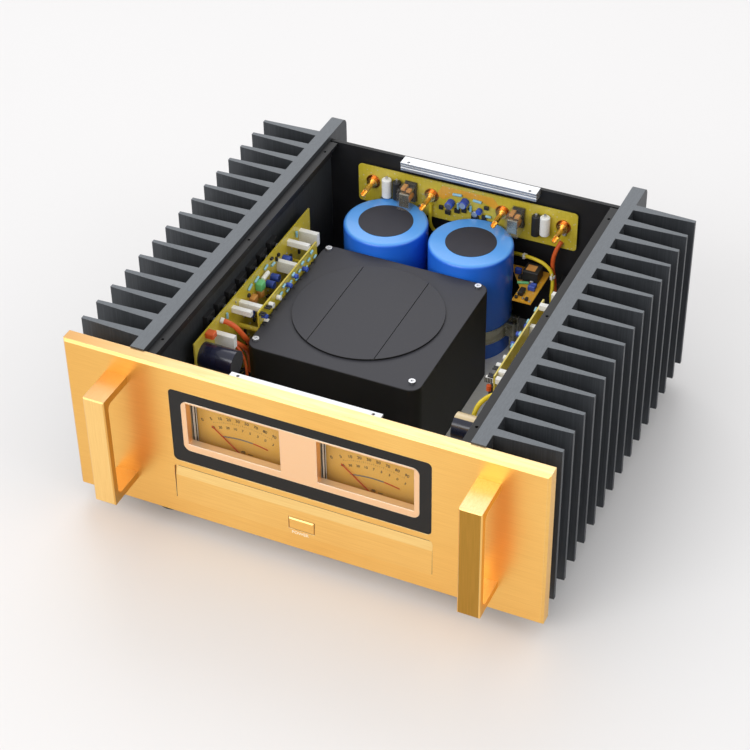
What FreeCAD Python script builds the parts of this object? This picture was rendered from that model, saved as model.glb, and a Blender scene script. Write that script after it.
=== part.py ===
"""Stereo power amplifier with its lid off: a gold front panel with two level
meters, finned side heatsinks, and the supply and amplifier boards between them.

Lengths are millimetres. The chassis is dimensioned from the front panel: x is
zero on the centre line, y is zero on the panel's front face and grows to the
back, and z is zero on the panel's lower edge. Every piece is then placed so
that the origin lies on the ground, under the middle of the amplifier.
"""
import FreeCAD, Part
import math
import os
import Sketcher
from FreeCAD import Placement, Rotation, Vector

DIMENSIONS = {
    # place of the chassis above the ground
    "origin_y": -204.5, "origin_z": 18,
    # front panel and what is let into it
    "panel_width": 480, "panel_height": 178.5, "panel_thick": 14, "panel_chamfer": 2.5,
    "window_width": 262, "window_low": 69.7, "window_height": 85.3, "window_corner": 5,
    "window_depth": 8, "ledge": 5, "frame_front": 0.6, "fit_gap": 0.15,
    "bezel_width": 238.4, "bezel_low": 85, "bezel_height": 59, "bezel_corner": 7,
    "meter_centre": 66.25, "meter_width": 95.5, "meter_low": 93, "meter_height": 49,
    "case_low": 77, "case_high": 146, "meter_wall": 2, "meter_depth": 30,
    "dial_depth": 19, "dial_thick": 1, "glass_thick": 1.5, "glass_depth": 9,
    "pivot_z": 80, "needle_length": 42, "needle_width": 0.9, "needle_thick": 0.5,
    "needle_depth": 16.5, "needle_lean": 49, "hub_radius": 2.4,
    "relief_width": 264, "relief_low": 20, "relief_top": 63, "relief_brow": 49.5,
    "relief_deep": 3.5, "relief_shallow": 1.2, "relief_corner": 4,
    "button_width": 26, "button_low": 25.7, "button_height": 13.6, "button_gap": 0.5,
    "button_bevel": 1.2, "button_front": -0.6,
    # handles
    "handle_centre": 184.6, "handle_width": 22, "handle_reach": 43, "handle_low": 30,
    "handle_high": 155, "handle_bar": 7.5, "handle_arm": 8, "handle_radius": 6,
    # heatsinks
    "sink_inner": 161.3, "sink_base": 14.1, "sink_low": 2.5, "sink_top": 180,
    "sink_rear": 452, "sink_corner": 9, "fin_end": 238.5, "fin_first": 34.8,
    "fin_pitch": 26.82, "fin_count": 15, "fin_tip": 4, "fin_root": 9.5,
    # sheet metal
    "floor_thick": 3, "rear_y": 412, "rear_thick": 4, "rear_top": 174,
    "rail_top": 175, "rail_width": 10, "rail_drop": 18, "rail_wall": 3,
    "rail_end": 408, "lid_hole": 1.65, "lid_hole_x": 156.3,
    "lid_hole_front": 40, "lid_hole_middle": 214, "lid_hole_rear": 388,
    "bar_half": 75, "bar_top": 176, "bar_wall": 2.2, "bar_drop": 9.5, "bar_front_depth": 8,
    "bar_rear_depth": 13, "bar_groove": 0.6, "bar_hole_inset": 8, "bar_hole_back": 3.4,
    "foot_radius": 21, "foot_x": 156, "foot_front": 37, "foot_rear": 385, "foot_taper": 1.5,
    # transformer
    "case_left": -122, "case_front": 130.8, "case_width": 182.4, "case_depth": 185.2,
    "case_top": 113, "case_corner": 12, "case_edge": 1, "case_wall": 3,
    "cover_x": -33.3, "cover_y": 226.5, "case_bolts": 165.5, "cap_radius": 76, "cap_height": 2,
    "slit_x": 36, "slit_width": 0.8, "slit_length": 136, "slit_depth": 1,
    "core_outer": 78, "core_inner": 38, "core_low": 16, "core_high": 98,
    # reservoir capacitors
    "can_radius": 44.2, "can_left": -75.3, "can_right": 20, "can_y": 362, "can_top": 126,
    "can_shoulder": 3.6, "disc_left": 28.6, "disc_right": 26.5, "disc_thick": 0.4,
    "clamp_low": 25, "clamp_height": 16, "clamp_thick": 1.2, "board_thick": 1.6,
    # amplifier boards
    "amp_x": 149, "amp_front": 83, "amp_length": 250, "amp_low": 40, "amp_top": 140,
    "driver_x": 123.2, "driver_front": 165, "driver_length": 131, "driver_low": 96,
    "driver_top": 129, "driver_inset": 6, "device_z": 136, "device_first": 130,
    "device_pitch": 22.5, "reservoir_y": 98, "reservoir_z": 117.5, "reservoir_radius": 13,
    "reservoir_length": 36,
    # rear board and connectors
    "guard_left": -127, "guard_width": 245, "guard_low": 112, "guard_height": 45,
    "guard_corner": 4, "guard_y": 407.4, "relay_left": -66, "relay_right": 54.7,
    "relay_width": 14.5, "relay_reach": 22, "relay_low": 126.6, "relay_height": 24,
    "post_middle": -3.2, "post_inner": 39.8, "post_outer": 106.4, "post_z": 139,
    "post_bore": 2.05, "post_reach": 31, "cap_reach": 33.5, "tail_reach": 28,
    "tail_radius": 2.75, "washer_radius": 7.8, "washer_thick": 1.2,
    "jack_x": -128, "jack_low": 48, "jack_high": 80, "jack_radius": 4.1,
    "inlet_x": 118, "inlet_z": 50,
    "start_left": 50, "start_step": 73.5, "start_right": 94, "start_front": 343.5,
    "start_slant": 366, "start_rear": 401.5, "start_z": 80, "bracket_thick": 3,
    "bracket_depth": 18, "bracket_drop": 20,
}

doc = FreeCAD.newDocument("power_amplifier")
sheet = doc.addObject("Spreadsheet::Sheet", "dims")
for row, (alias, number) in enumerate(DIMENSIONS.items(), 1):
    sheet.set(f"A{row}", alias.replace("_", " "))
    sheet.set(f"B{row}", str(number))
    sheet.setAlias(f"B{row}", alias)
doc.recompute()


class Size:
    """A length that carries its formula in the sheet's cells beside its value."""

    def __init__(self, value, text):
        self.value = value
        self.text = text

    def __add__(self, other):
        other = as_size(other)
        return Size(self.value + other.value, f"({self.text} + {other.text})")

    def __sub__(self, other):
        other = as_size(other)
        return Size(self.value - other.value, f"({self.text} - {other.text})")

    def __mul__(self, other):
        other = as_size(other)
        return Size(self.value * other.value, f"({self.text} * {other.text})")

    def __truediv__(self, other):
        other = as_size(other)
        return Size(self.value / other.value, f"({self.text} / {other.text})")

    def __neg__(self):
        return Size(-self.value, f"(0 - {self.text})")

    def __radd__(self, other):
        return as_size(other) + self

    def __rsub__(self, other):
        return as_size(other) - self

    def __rmul__(self, other):
        return as_size(other) * self


def as_size(number):
    """Any number as a Size, so that both can share one formula."""
    if isinstance(number, Size):
        return number
    return Size(number, f"({number})")


class Cells:
    """Reads a driving dimension of the sheet by its name."""

    def __getattr__(self, alias):
        return Size(DIMENSIONS[alias], f"dims.{alias}")


d = Cells()
parts = []


# ---- small helpers ---------------------------------------------------------

def bind(thing, path, size):
    """Ties one property of a document object to a formula of the sheet."""
    thing.setExpression(path, as_size(size).text)


def place(thing, corner):
    """Places an object by a point of the chassis, turned as it already is."""
    for axis, size, shift in zip("xyz", corner, (0, d.origin_y, d.origin_z)):
        bind(thing, f"Placement.Base.{axis}", as_size(size) + shift)


def keep(thing, label):
    """Names a finished sub-part and lists it for the export."""
    thing.Label = label
    parts.append(thing)
    return thing


def block(corner, size):
    """A box from its lowest corner and its three sizes."""
    solid = doc.addObject("Part::Box", "Block")
    for name, length in zip(("Length", "Width", "Height"), size):
        bind(solid, name, length)
    place(solid, corner)
    return solid


TURNS = {"x": Rotation(Vector(0, 1, 0), 90), "y": Rotation(Vector(1, 0, 0), -90), "z": Rotation()}


def rod(start, radius, length, axis="z"):
    """A cylinder from the centre of its first end, along a chassis axis."""
    solid = doc.addObject("Part::Cylinder", "Rod")
    solid.Placement = Placement(Vector(), TURNS[axis])
    bind(solid, "Radius", radius)
    bind(solid, "Height", length)
    place(solid, start)
    return solid


def cone(start, first, last, length, axis="z"):
    """A cone from the centre of its first end, along a chassis axis."""
    solid = doc.addObject("Part::Cone", "Taper")
    solid.Placement = Placement(Vector(), TURNS[axis])
    bind(solid, "Radius1", first)
    bind(solid, "Radius2", last)
    bind(solid, "Height", length)
    place(solid, start)
    return solid


def fuse(*solids):
    """One solid of several that overlap or touch."""
    result = doc.addObject("Part::MultiFuse", "Union")
    result.Shapes = list(solids)
    result.Refine = True
    return result


def cut(base, *tools):
    """What is left of a solid when the tools are taken away."""
    result = doc.addObject("Part::Cut", "Cut")
    result.Base = base
    result.Tool = tools[0] if len(tools) == 1 else fuse(*tools)
    result.Refine = True
    return result


def group(solids):
    """Several separate solids that share one name."""
    result = doc.addObject("Part::Compound", "Group")
    result.Links = list(solids)
    return result


def chosen_edges(shape, test):
    """Numbers of the edges whose two ends pass the test."""
    found = []
    for number, edge in enumerate(shape.Edges, 1):
        ends = [vertex.Point for vertex in edge.Vertexes]
        if len(ends) == 2 and test(*ends):
            found.append(number)
    return found


def rounded(base, radius, test):
    """Rounds the edges of a solid that pass the test."""
    doc.recompute()
    result = doc.addObject("Part::Fillet", "Rounded")
    result.Base = base
    radius = as_size(radius).value
    result.Edges = [(number, radius, radius) for number in chosen_edges(base.Shape, test)]
    return result


def along(axis):
    """A test for edges that run along one axis."""
    others = [name for name in "xyz" if name != axis]
    return lambda a, b: all(abs(getattr(a, name) - getattr(b, name)) < 1e-6 for name in others)


# ---- sketch-based bodies ---------------------------------------------------

def new_body(label):
    """A PartDesign body in the chassis frame."""
    body = doc.addObject("PartDesign::Body", label)
    place(body, (0, 0, 0))
    return keep(body, label)


def new_sketch(body, role, offset=0):
    """A sketch on one of the body's origin planes, moved along its normal."""
    plane = next(item for item in body.Origin.OriginFeatures if item.Role == role)
    sketch = body.newObject("Sketcher::SketchObject", "Sketch")
    sketch.AttachmentSupport = [(plane, "")]
    sketch.MapMode = "FlatFace"
    bind(sketch, "AttachmentOffset.Base.z", offset)
    return sketch


def outline(sketch, corners):
    """A closed outline whose every corner is dimensioned from the origin."""
    first = sketch.GeometryCount
    places = [Vector(as_size(x).value, as_size(y).value, 0) for x, y in corners]
    for start, end in zip(places, places[1:] + places[:1]):
        sketch.addGeometry(Part.LineSegment(start, end), False)
    count = len(corners)
    for index, (x, y) in enumerate(corners):
        line = first + index
        before = first + (index - 1) % count
        sketch.addConstraint(Sketcher.Constraint("Coincident", before, 2, line, 1))
        for kind, size in (("DistanceX", x), ("DistanceY", y)):
            size = as_size(size)
            number = sketch.addConstraint(Sketcher.Constraint(kind, -1, 1, line, 1, size.value))
            bind(sketch, f"Constraints[{number}]", size)


def rectangle(sketch, left, low, width, height):
    """A rectangle from its lower left corner."""
    right = as_size(left) + width
    high = as_size(low) + height
    outline(sketch, [(left, low), (right, low), (right, high), (left, high)])


def pad(body, sketch, length, reverse=False):
    """Material added from a sketch."""
    feature = body.newObject("PartDesign::Pad", "Pad")
    feature.Profile = sketch
    feature.Reversed = reverse
    bind(feature, "Length", length)
    return feature


def pocket(body, sketch, length, reverse=False):
    """Material taken away from a sketch, checked to have cut something."""
    doc.recompute()
    before = body.Shape.Volume
    feature = body.newObject("PartDesign::Pocket", "Pocket")
    feature.Profile = sketch
    feature.Reversed = reverse
    bind(feature, "Length", length)
    doc.recompute()
    if body.Shape.Volume >= before - 1e-3:
        raise RuntimeError(f"a pocket in {body.Label} cuts nothing")
    return feature


def ease(body, kind, size, test):
    """Rounds or chamfers the edges of a body that pass the test."""
    doc.recompute()
    last = body.Tip
    names = [f"Edge{number}" for number in chosen_edges(last.Shape, test)]
    feature = body.newObject(f"PartDesign::{kind}", kind)
    feature.Base = (last, names)
    bind(feature, "Radius" if kind == "Fillet" else "Size", size)
    return feature


def turned(label, profile, at):
    """A body turned about a vertical axis from a half outline of (radius, height)."""
    body = new_body(label)
    place(body, at)
    sketch = new_sketch(body, "XZ_Plane")
    outline(sketch, profile)
    feature = body.newObject("PartDesign::Revolution", "Revolution")
    feature.Profile = sketch
    feature.ReferenceAxis = (sketch, ["V_Axis"])
    feature.Angle = 360
    return body


# ---- front -----------------------------------------------------------------

def front_panel():
    """Thick gold plate with the window pocket and the button hole."""
    body = new_body("front_panel")
    sketch = new_sketch(body, "XZ_Plane")
    rectangle(sketch, -d.panel_width / 2, 0, d.panel_width, d.panel_height)
    pad(body, sketch, d.panel_thick, reverse=True)
    front = lambda a, b: abs(a.y) < 1e-6 and abs(b.y) < 1e-6
    ease(body, "Chamfer", d.panel_chamfer, front)
    sketch = new_sketch(body, "XZ_Plane")
    rectangle(sketch, -d.window_width / 2, d.window_low, d.window_width, d.window_height)
    pocket(body, sketch, d.window_depth, reverse=False)
    sketch = new_sketch(body, "XZ_Plane")
    rectangle(sketch, -d.window_width / 2 + d.ledge, d.window_low + d.ledge,
              d.window_width - d.ledge * 2, d.window_height - d.ledge * 2)
    pocket(body, sketch, d.panel_thick, reverse=False)
    sketch = new_sketch(body, "YZ_Plane", d.relief_width / 2)
    outline(sketch, [(-1, d.relief_low), (0, d.relief_low), (d.relief_shallow, d.relief_brow),
                     (d.relief_deep, d.relief_top), (-1, d.relief_top)])
    pocket(body, sketch, d.relief_width)
    sketch = new_sketch(body, "XZ_Plane")
    rectangle(sketch, -d.button_width / 2 - d.button_gap, d.button_low - d.button_gap,
              d.button_width + d.button_gap * 2, d.button_height + d.button_gap * 2)
    pocket(body, sketch, d.panel_thick, reverse=False)
    ease(body, "Fillet", d.window_corner, window_corner_edge)
    ease(body, "Fillet", d.relief_corner, relief_corner_edge)


def window_corner_edge(a, b):
    """True for the four edges along y in the corners of the window pocket."""
    half = d.window_width.value / 2
    low = d.window_low.value
    high = low + d.window_height.value
    straight = abs(a.x - b.x) < 1e-6 and abs(a.z - b.z) < 1e-6
    return straight and abs(abs(a.x) - half) < 1e-6 and min(abs(a.z - low), abs(a.z - high)) < 1e-6


def relief_corner_edge(a, b):
    """True for the two edges along y in the upper corners of the relief."""
    half = d.relief_width.value / 2
    straight = abs(a.x - b.x) < 1e-6 and abs(a.z - b.z) < 1e-6
    return straight and abs(abs(a.x) - half) < 1e-6 and abs(a.z - d.relief_top.value) < 1e-6


def window_frame():
    """Black frame let into the window pocket round the meters' bezel."""
    gap = d.fit_gap
    outer = block((-d.window_width / 2 + gap, d.frame_front, d.window_low + gap),
                  (d.window_width - gap * 2, d.window_depth - d.frame_front,
                   d.window_height - gap * 2))
    outer = rounded(outer, d.window_corner, along("y"))
    inner = block((-d.bezel_width / 2, -1, d.bezel_low),
                  (d.bezel_width, d.panel_thick, d.bezel_height))
    inner = rounded(inner, d.bezel_corner, along("y"))
    keep(cut(outer, inner), "window_frame")


def meter_opening(side, depth):
    """The space seen through one meter window, from the bezel to a depth."""
    left = d.meter_centre * side - d.meter_width / 2
    return block((left, -1, d.meter_low), (d.meter_width, depth + 1, d.meter_height))


def meter_bezel():
    """Champagne surround with a window for each meter."""
    gap = d.fit_gap
    outer = block((-d.bezel_width / 2 + gap, d.frame_front - 0.4, d.bezel_low + gap),
                  (d.bezel_width - gap * 2, d.window_depth - 0.2, d.bezel_height - gap * 2))
    outer = rounded(outer, d.bezel_corner, along("y"))
    openings = [meter_opening(side, d.panel_thick) for side in (-1, 1)]
    keep(cut(outer, *openings), "meter_bezel")


def meter_case(side, label):
    """Open box behind one meter window that holds the dial."""
    wall = d.meter_wall
    front = d.frame_front - 0.4 + d.window_depth - 0.2
    height = d.case_high - d.case_low
    outer = block((d.meter_centre * side - d.meter_width / 2 - wall, front, d.case_low - wall),
                  (d.meter_width + wall * 2, d.meter_depth, height + wall * 2))
    inner = block((d.meter_centre * side - d.meter_width / 2, front - 1, d.case_low),
                  (d.meter_width, d.meter_depth - wall + 1, height))
    keep(cut(outer, inner), label)


def dial(side, label):
    """Printed plate behind the needle."""
    left = d.meter_centre * side - d.meter_width / 2 + 0.3
    plate = block((left, d.dial_depth, d.case_low + 0.3),
                  (d.meter_width - 0.6, d.dial_thick, d.case_high - d.case_low - 0.6))
    hole = rod((d.meter_centre * side, d.dial_depth - 1, d.pivot_z),
               d.hub_radius - 0.4, d.dial_thick + 2, "y")
    keep(cut(plate, hole), label)


def needle(side, label):
    """Needle on its hub, lying at the rest mark at the left of the scale."""
    at = (d.meter_centre * side, d.needle_depth, d.pivot_z)
    hub = rod(at, d.hub_radius, 2, "y")
    arm = doc.addObject("Part::Box", "Arm")
    bind(arm, "Length", d.needle_width)
    bind(arm, "Width", d.needle_thick)
    bind(arm, "Height", d.needle_length)
    lean = math.radians(d.needle_lean.value)
    half = d.needle_width.value / 2
    arm.Placement = Placement(Vector(), Rotation(Vector(0, 1, 0), -d.needle_lean.value))
    place(arm, (at[0] - half * math.cos(lean), at[1] + 0.5, at[2] - half * math.sin(lean)))
    keep(fuse(hub, arm), label)


def meter_movements():
    """Moving-coil housings with the bearing pins that the needles turn on."""
    solids = []
    for side in (-1, 1):
        x = d.meter_centre * side
        z = d.pivot_z
        back = d.frame_front - 0.4 + d.window_depth - 0.2 + d.meter_depth - d.meter_wall
        drum = rod((x, d.dial_depth + d.dial_thick + 0.6, z + 9), 11, back - d.dial_depth
                   - d.dial_thick - 0.6, "y")
        pin = rod((x, d.needle_depth + 2.05, z), 1.2, 4.5, "y")
        solids.append(fuse(drum, pin))
    keep(group(solids), "meter_movements")


def meter_glasses():
    """Clear panes in front of the dials."""
    panes = []
    for side in (-1, 1):
        left = d.meter_centre * side - d.meter_width / 2 + 0.1
        panes.append(block((left, d.glass_depth, d.case_low + 0.1),
                           (d.meter_width - 0.2, d.glass_thick,
                            d.case_high - d.case_low - 0.2)))
    keep(group(panes), "meter_glasses")


def power_button():
    """Push button with a bevelled face and a square stem to the switch."""
    front = d.button_front
    face = block((-d.button_width / 2, front, d.button_low),
                 (d.button_width, d.panel_thick - 2 - front, d.button_height))
    doc.recompute()
    bevel = doc.addObject("Part::Chamfer", "Bevel")
    bevel.Base = face
    y_front = front.value + d.origin_y.value
    edges = chosen_edges(face.Shape, lambda a, b: max(abs(a.y - y_front), abs(b.y - y_front)) < 1e-6)
    size = d.button_bevel.value
    bevel.Edges = [(number, size, size) for number in edges]
    stem = block((-3, d.panel_thick - 2.5, d.button_low + d.button_height / 2 - 3), (6, 14.5, 6))
    keep(fuse(bevel, stem), "power_button")


def power_switch():
    """Mains switch behind the button, with the well its stem travels in."""
    z = d.button_low + d.button_height / 2
    front = d.panel_thick + 6
    shell = block((-14, front, z - 11), (28, 34, 22))
    well = block((-3.4, front - 1, z - 3.4), (6.8, 12, 6.8))
    strap = block((-22, d.panel_thick, z - 14), (3, 24, 28))
    strap_right = block((19, d.panel_thick, z - 14), (3, 24, 28))
    bridge = block((-22, front + 8, z - 14), (44, 10, 3))
    blades = [block((x, front + 34, z - 3), (0.8, 8, 6)) for x in (-9, -3, 3, 9)]
    body = cut(fuse(shell, strap, strap_right, bridge, *blades), well)
    keep(body, "power_switch")


def handle(side, label):
    """Bent square bar on the front, open behind for the fingers."""
    body = new_body(label)
    sketch = new_sketch(body, "YZ_Plane", d.handle_centre * side - d.handle_width / 2)
    low = d.handle_low
    high = d.handle_high
    back = -d.handle_reach + d.handle_bar
    outline(sketch, [(0, low), (-d.handle_reach, low), (-d.handle_reach, high), (0, high),
                     (0, high - d.handle_arm), (back, high - d.handle_arm),
                     (back, low + d.handle_arm), (0, low + d.handle_arm)])
    pad(body, sketch, d.handle_width)
    inner = lambda a, b: abs(a.y - back.value) < 1e-6 and abs(b.y - back.value) < 1e-6 \
        and along("x")(a, b)
    ease(body, "Fillet", d.handle_radius, inner)
    outer = lambda a, b: abs(a.y + d.handle_reach.value) < 1e-6 \
        and abs(b.y + d.handle_reach.value) < 1e-6
    ease(body, "Chamfer", 1.2, outer)


def handle_screws():
    """Four cap screws that hold the handles from behind the panel."""
    screws = []
    for side in (-1, 1):
        for z in (d.handle_low + d.handle_arm / 2, d.handle_high - d.handle_arm / 2):
            x = d.handle_centre * side
            screws.append(rod((x, d.panel_thick, z), 5, 6, "y"))
    keep(group(screws), "handle_screws")


# ---- chassis ---------------------------------------------------------------

def heatsink(side, label):
    """Extruded side: a thick base with tapered fins."""
    body = new_body(label)
    inner = d.sink_inner * side
    outer = (d.sink_inner + d.sink_base) * side
    sketch = new_sketch(body, "YZ_Plane", inner if side > 0 else outer)
    rectangle(sketch, d.panel_thick, d.sink_low, d.sink_rear - d.panel_thick,
              d.sink_top - d.sink_low)
    pad(body, sketch, d.sink_base)
    rear = lambda a, b: min(a.y, b.y) > d.sink_rear.value - 1e-6 and along("x")(a, b)
    ease(body, "Fillet", d.sink_corner, rear)
    sketch = new_sketch(body, "XY_Plane", d.sink_low)
    root = outer - 0.5 * side
    tip = d.fin_end * side
    middle = d.fin_first
    corners = [(root, middle - d.fin_root / 2), (tip, middle - d.fin_tip / 2),
               (tip, middle + d.fin_tip / 2), (root, middle + d.fin_root / 2)]
    outline(sketch, corners)
    fin = pad(body, sketch, d.sink_top - d.sink_low)
    row = body.newObject("PartDesign::LinearPattern", "FinRow")
    row.Originals = [fin]
    axis = next(item for item in body.Origin.OriginFeatures if item.Role == "Y_Axis")
    row.Direction = (axis, [""])
    bind(row, "Length", d.fin_pitch * (d.fin_count - 1))
    bind(row, "Occurrences", d.fin_count)
    body.Tip = row


def bottom_plate():
    """Floor between the heatsinks."""
    body = new_body("bottom_plate")
    sketch = new_sketch(body, "XY_Plane", d.sink_low)
    rectangle(sketch, -d.sink_inner, d.panel_thick, d.sink_inner * 2, d.rear_y - d.panel_thick)
    pad(body, sketch, d.floor_thick)


def post_places():
    """The x of the four speaker terminals, from left to right."""
    return [d.post_middle + shift for shift in
            (-d.post_outer, -d.post_inner, d.post_inner, d.post_outer)]


def rear_panel():
    """Back plate with the holes for its connectors."""
    y = d.rear_y - 1
    deep = d.rear_thick + 2
    plate = block((-d.sink_inner, d.rear_y, d.sink_low),
                  (d.sink_inner * 2, d.rear_thick, d.rear_top - d.sink_low))
    holes = [rod((x, y, d.post_z), 5, deep, "y") for x in post_places()]
    holes += [rod((d.jack_x, y, z), 6, deep, "y") for z in (d.jack_low, d.jack_high)]
    holes.append(block((d.inlet_x - 14.2, y, d.inlet_z - 24.2), (28.4, deep, 48.4)))
    keep(cut(plate, *holes), "rear_panel")


def side_rail(side, label):
    """Black angle along a heatsink that the lid is screwed to."""
    body = new_body(label)
    sketch = new_sketch(body, "XZ_Plane", -d.panel_thick)
    wall = d.sink_inner * side
    inner = (d.sink_inner - d.rail_width) * side
    web = (d.sink_inner - d.rail_wall) * side
    top = d.rail_top
    outline(sketch, [(wall, top - d.rail_drop), (wall, top), (inner, top),
                     (inner, top - d.rail_wall), (web, top - d.rail_wall),
                     (web, top - d.rail_drop)])
    pad(body, sketch, d.rail_end - d.panel_thick, reverse=True)
    for y in (d.lid_hole_front, d.lid_hole_middle, d.lid_hole_rear):
        hole_sketch = new_sketch(body, "XY_Plane", d.rail_top)
        circle(hole_sketch, d.lid_hole_x * side, y, d.lid_hole)
        pocket(body, hole_sketch, d.rail_wall + 0.5)


def circle(sketch, x, y, radius):
    """A circle dimensioned from the origin."""
    x, y, radius = as_size(x), as_size(y), as_size(radius)
    number = sketch.addGeometry(Part.Circle(Vector(x.value, y.value, 0), Vector(0, 0, 1),
                                            radius.value), False)
    for kind, size in (("DistanceX", x), ("DistanceY", y)):
        index = sketch.addConstraint(Sketcher.Constraint(kind, -1, 1, number, 3, size.value))
        bind(sketch, f"Constraints[{index}]", size)
    index = sketch.addConstraint(Sketcher.Constraint("Radius", number, radius.value))
    bind(sketch, f"Constraints[{index}]", radius)


def lid_bar(label, profile, hole_y):
    """Bare aluminium bar across the front or the back that the lid is screwed to."""
    body = new_body(label)
    sketch = new_sketch(body, "YZ_Plane", -d.bar_half)
    outline(sketch, profile)
    pad(body, sketch, d.bar_half * 2)
    for side in (-1, 1):
        hole_sketch = new_sketch(body, "XY_Plane", d.bar_top)
        circle(hole_sketch, (d.bar_half - d.bar_hole_inset) * side, hole_y, d.lid_hole)
        pocket(body, hole_sketch, d.bar_wall + 0.5)


def lid_bars():
    """A narrow angle behind the front panel and a grooved bar on the rear panel."""
    top = d.bar_top
    low = top - d.bar_drop
    front = d.panel_thick
    back = front + d.bar_front_depth
    lid_bar("lid_bar_front", [(front, low), (front, top), (back, top), (back, top - d.bar_wall),
                              (front + d.bar_wall, top - d.bar_wall), (front + d.bar_wall, low)],
            back - d.bar_hole_back)
    back = d.rear_y
    front = back - d.bar_rear_depth
    face = front + d.bar_groove
    under = top - d.bar_wall
    middle = (low + under) / 2
    lid_bar("lid_bar_rear", [(front, top), (back, top), (back, low), (face, low),
                             (face, middle - d.bar_groove), (face + d.bar_groove, middle),
                             (face, middle + d.bar_groove), (face, under - d.bar_groove * 2),
                             (face + d.bar_groove, under - d.bar_groove * 2),
                             (face + d.bar_groove, under), (front, under)],
            front + d.bar_hole_back)


def feet_and_screws():
    """Four rubber-soled feet and the screws up through them."""
    feet = []
    screws = []
    for x in (-d.foot_x, d.foot_x):
        for y in (d.foot_front, d.foot_rear):
            height = d.origin_z + d.sink_low
            low = -d.origin_z
            shape = cone((x, y, low), d.foot_radius - d.foot_taper, d.foot_radius, height)
            well = rod((x, y, low - 1), 6, 9)
            feet.append(cut(shape, well, rod((x, y, low), 2.6, height + 1)))
            shank = rod((x, y, low + 8), 2.4, height - 8)
            head = rod((x, y, low + 5), 4.5, 3)
            screws.append(fuse(shank, head))
    keep(group(feet), "feet")
    keep(group(screws), "foot_screws")


def chassis_screws():
    """Socket screws through the rear panel's flanges and the front bar."""
    screws = []
    for side in (-1, 1):
        for z in (30, 150):
            screws.append(rod(((d.sink_inner - 8) * side, d.rear_y + d.rear_thick, z), 3, 2.4, "y"))
    keep(group(screws), "chassis_screws")


# ---- supply ----------------------------------------------------------------

def transformer():
    """Toroid in a square can, with its raised lid and corner screws."""
    floor = d.sink_low + d.floor_thick
    height = d.case_top - floor
    middle_x = d.case_left + d.case_width / 2
    middle_y = d.case_front + d.case_depth / 2
    outer = block((d.case_left, d.case_front, floor), (d.case_width, d.case_depth, height))
    outer = rounded(outer, d.case_corner, along("z"))
    high = (d.case_top + d.origin_z).value - 1e-6
    outer = rounded(outer, d.case_edge, lambda a, b: min(a.z, b.z) > high)
    wall = d.case_wall
    inner = rod((middle_x, middle_y, floor - 1), d.case_width / 2 - wall, height - wall + 1)
    keep(cut(outer, inner), "transformer_case")
    lid = rod((d.cover_x, d.cover_y, d.case_top), d.cap_radius, d.cap_height)
    slit_z = d.case_top + d.cap_height - d.slit_depth
    slits = [block((d.cover_x + shift - d.slit_width / 2, d.cover_y - d.slit_length / 2, slit_z),
                   (d.slit_width, d.slit_length, d.slit_depth + 1))
             for shift in (-d.slit_x, d.slit_x)]
    keep(cut(lid, *slits), "transformer_cover")
    ring = rod((middle_x, middle_y, d.core_low), d.core_outer, d.core_high - d.core_low)
    eye = rod((middle_x, middle_y, d.core_low - 1), d.core_inner, d.core_high - d.core_low + 2)
    keep(cut(ring, eye), "transformer_core")
    screws = []
    for x in (-d.case_bolts / 2, d.case_bolts / 2):
        for y in (-d.case_bolts / 2, d.case_bolts / 2):
            screws.append(socket_screw((d.cover_x + x, d.cover_y + y, d.case_top)))
    keep(group(screws), "transformer_screws")


def socket_screw(at):
    """A cap screw standing on its head's seat, with a recess for the key."""
    head = rod(at, 3.4, 2.2)
    recess = rod((at[0], at[1], at[2] + 1), 1.5, 2)
    return cut(head, recess)


def capacitor(x, label):
    """Tall can in a shrunk sleeve with a rounded shoulder."""
    floor = d.sink_low + d.floor_thick
    height = d.can_top - floor
    body = turned(label, [(0, 0), (d.can_radius, 0), (d.can_radius, height), (0, height)],
                  (x, d.can_y, floor))
    doc.recompute()
    last = body.Tip
    names = [f"Edge{number}" for number, edge in enumerate(last.Shape.Edges, 1)
             if edge.Closed and abs(edge.CenterOfMass.z - height.value) < 1e-6]
    feature = body.newObject("PartDesign::Fillet", "Shoulder")
    feature.Base = (last, names)
    bind(feature, "Radius", d.can_shoulder)


def capacitor_fittings():
    """End discs of the cans, and the clamps that hold them to the floor."""
    discs = [rod((x, d.can_y, d.can_top), radius, d.disc_thick)
             for x, radius in ((d.can_left, d.disc_left), (d.can_right, d.disc_right))]
    keep(group(discs), "capacitor_discs")
    clamps = []
    floor = d.sink_low + d.floor_thick
    radius = d.can_radius + 0.1
    for side, x in ((-1, d.can_left), (1, d.can_right)):
        band = rod((x, d.can_y, d.clamp_low), radius + d.clamp_thick, d.clamp_height)
        hollow = rod((x, d.can_y, d.clamp_low - 1), radius, d.clamp_height + 2)
        ears = []
        for shift in (-9, 4):
            near = x + radius * side if side > 0 else x - radius - 8
            far = near + 4 if side > 0 else near
            ears.append(block((near, d.can_y + shift, d.clamp_low), (8, 5, d.clamp_height)))
            ears.append(block((far, d.can_y + shift, floor), (4, 5, d.clamp_low - floor)))
        clamps.append(cut(fuse(band, *ears), hollow))
    keep(group(clamps), "capacitor_clamps")


def rectifiers():
    """Two bridge rectifiers bolted to the floor in front of the transformer."""
    floor = d.sink_low + d.floor_thick
    bridges = []
    for x in (-62, -22):
        body = block((x, 80, floor), (28.5, 28.5, 10))
        blades = [block((x + 4 + shift_x, 84 + shift_y, floor + 9), (6, 0.8, 13))
                  for shift_x in (0, 14) for shift_y in (0, 18)]
        bridges.append(cut(fuse(body, *blades), rod((x + 14.25, 94.25, floor - 1), 2.5, 12)))
    keep(group(bridges), "rectifiers")


# ---- amplifier boards ------------------------------------------------------

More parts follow.
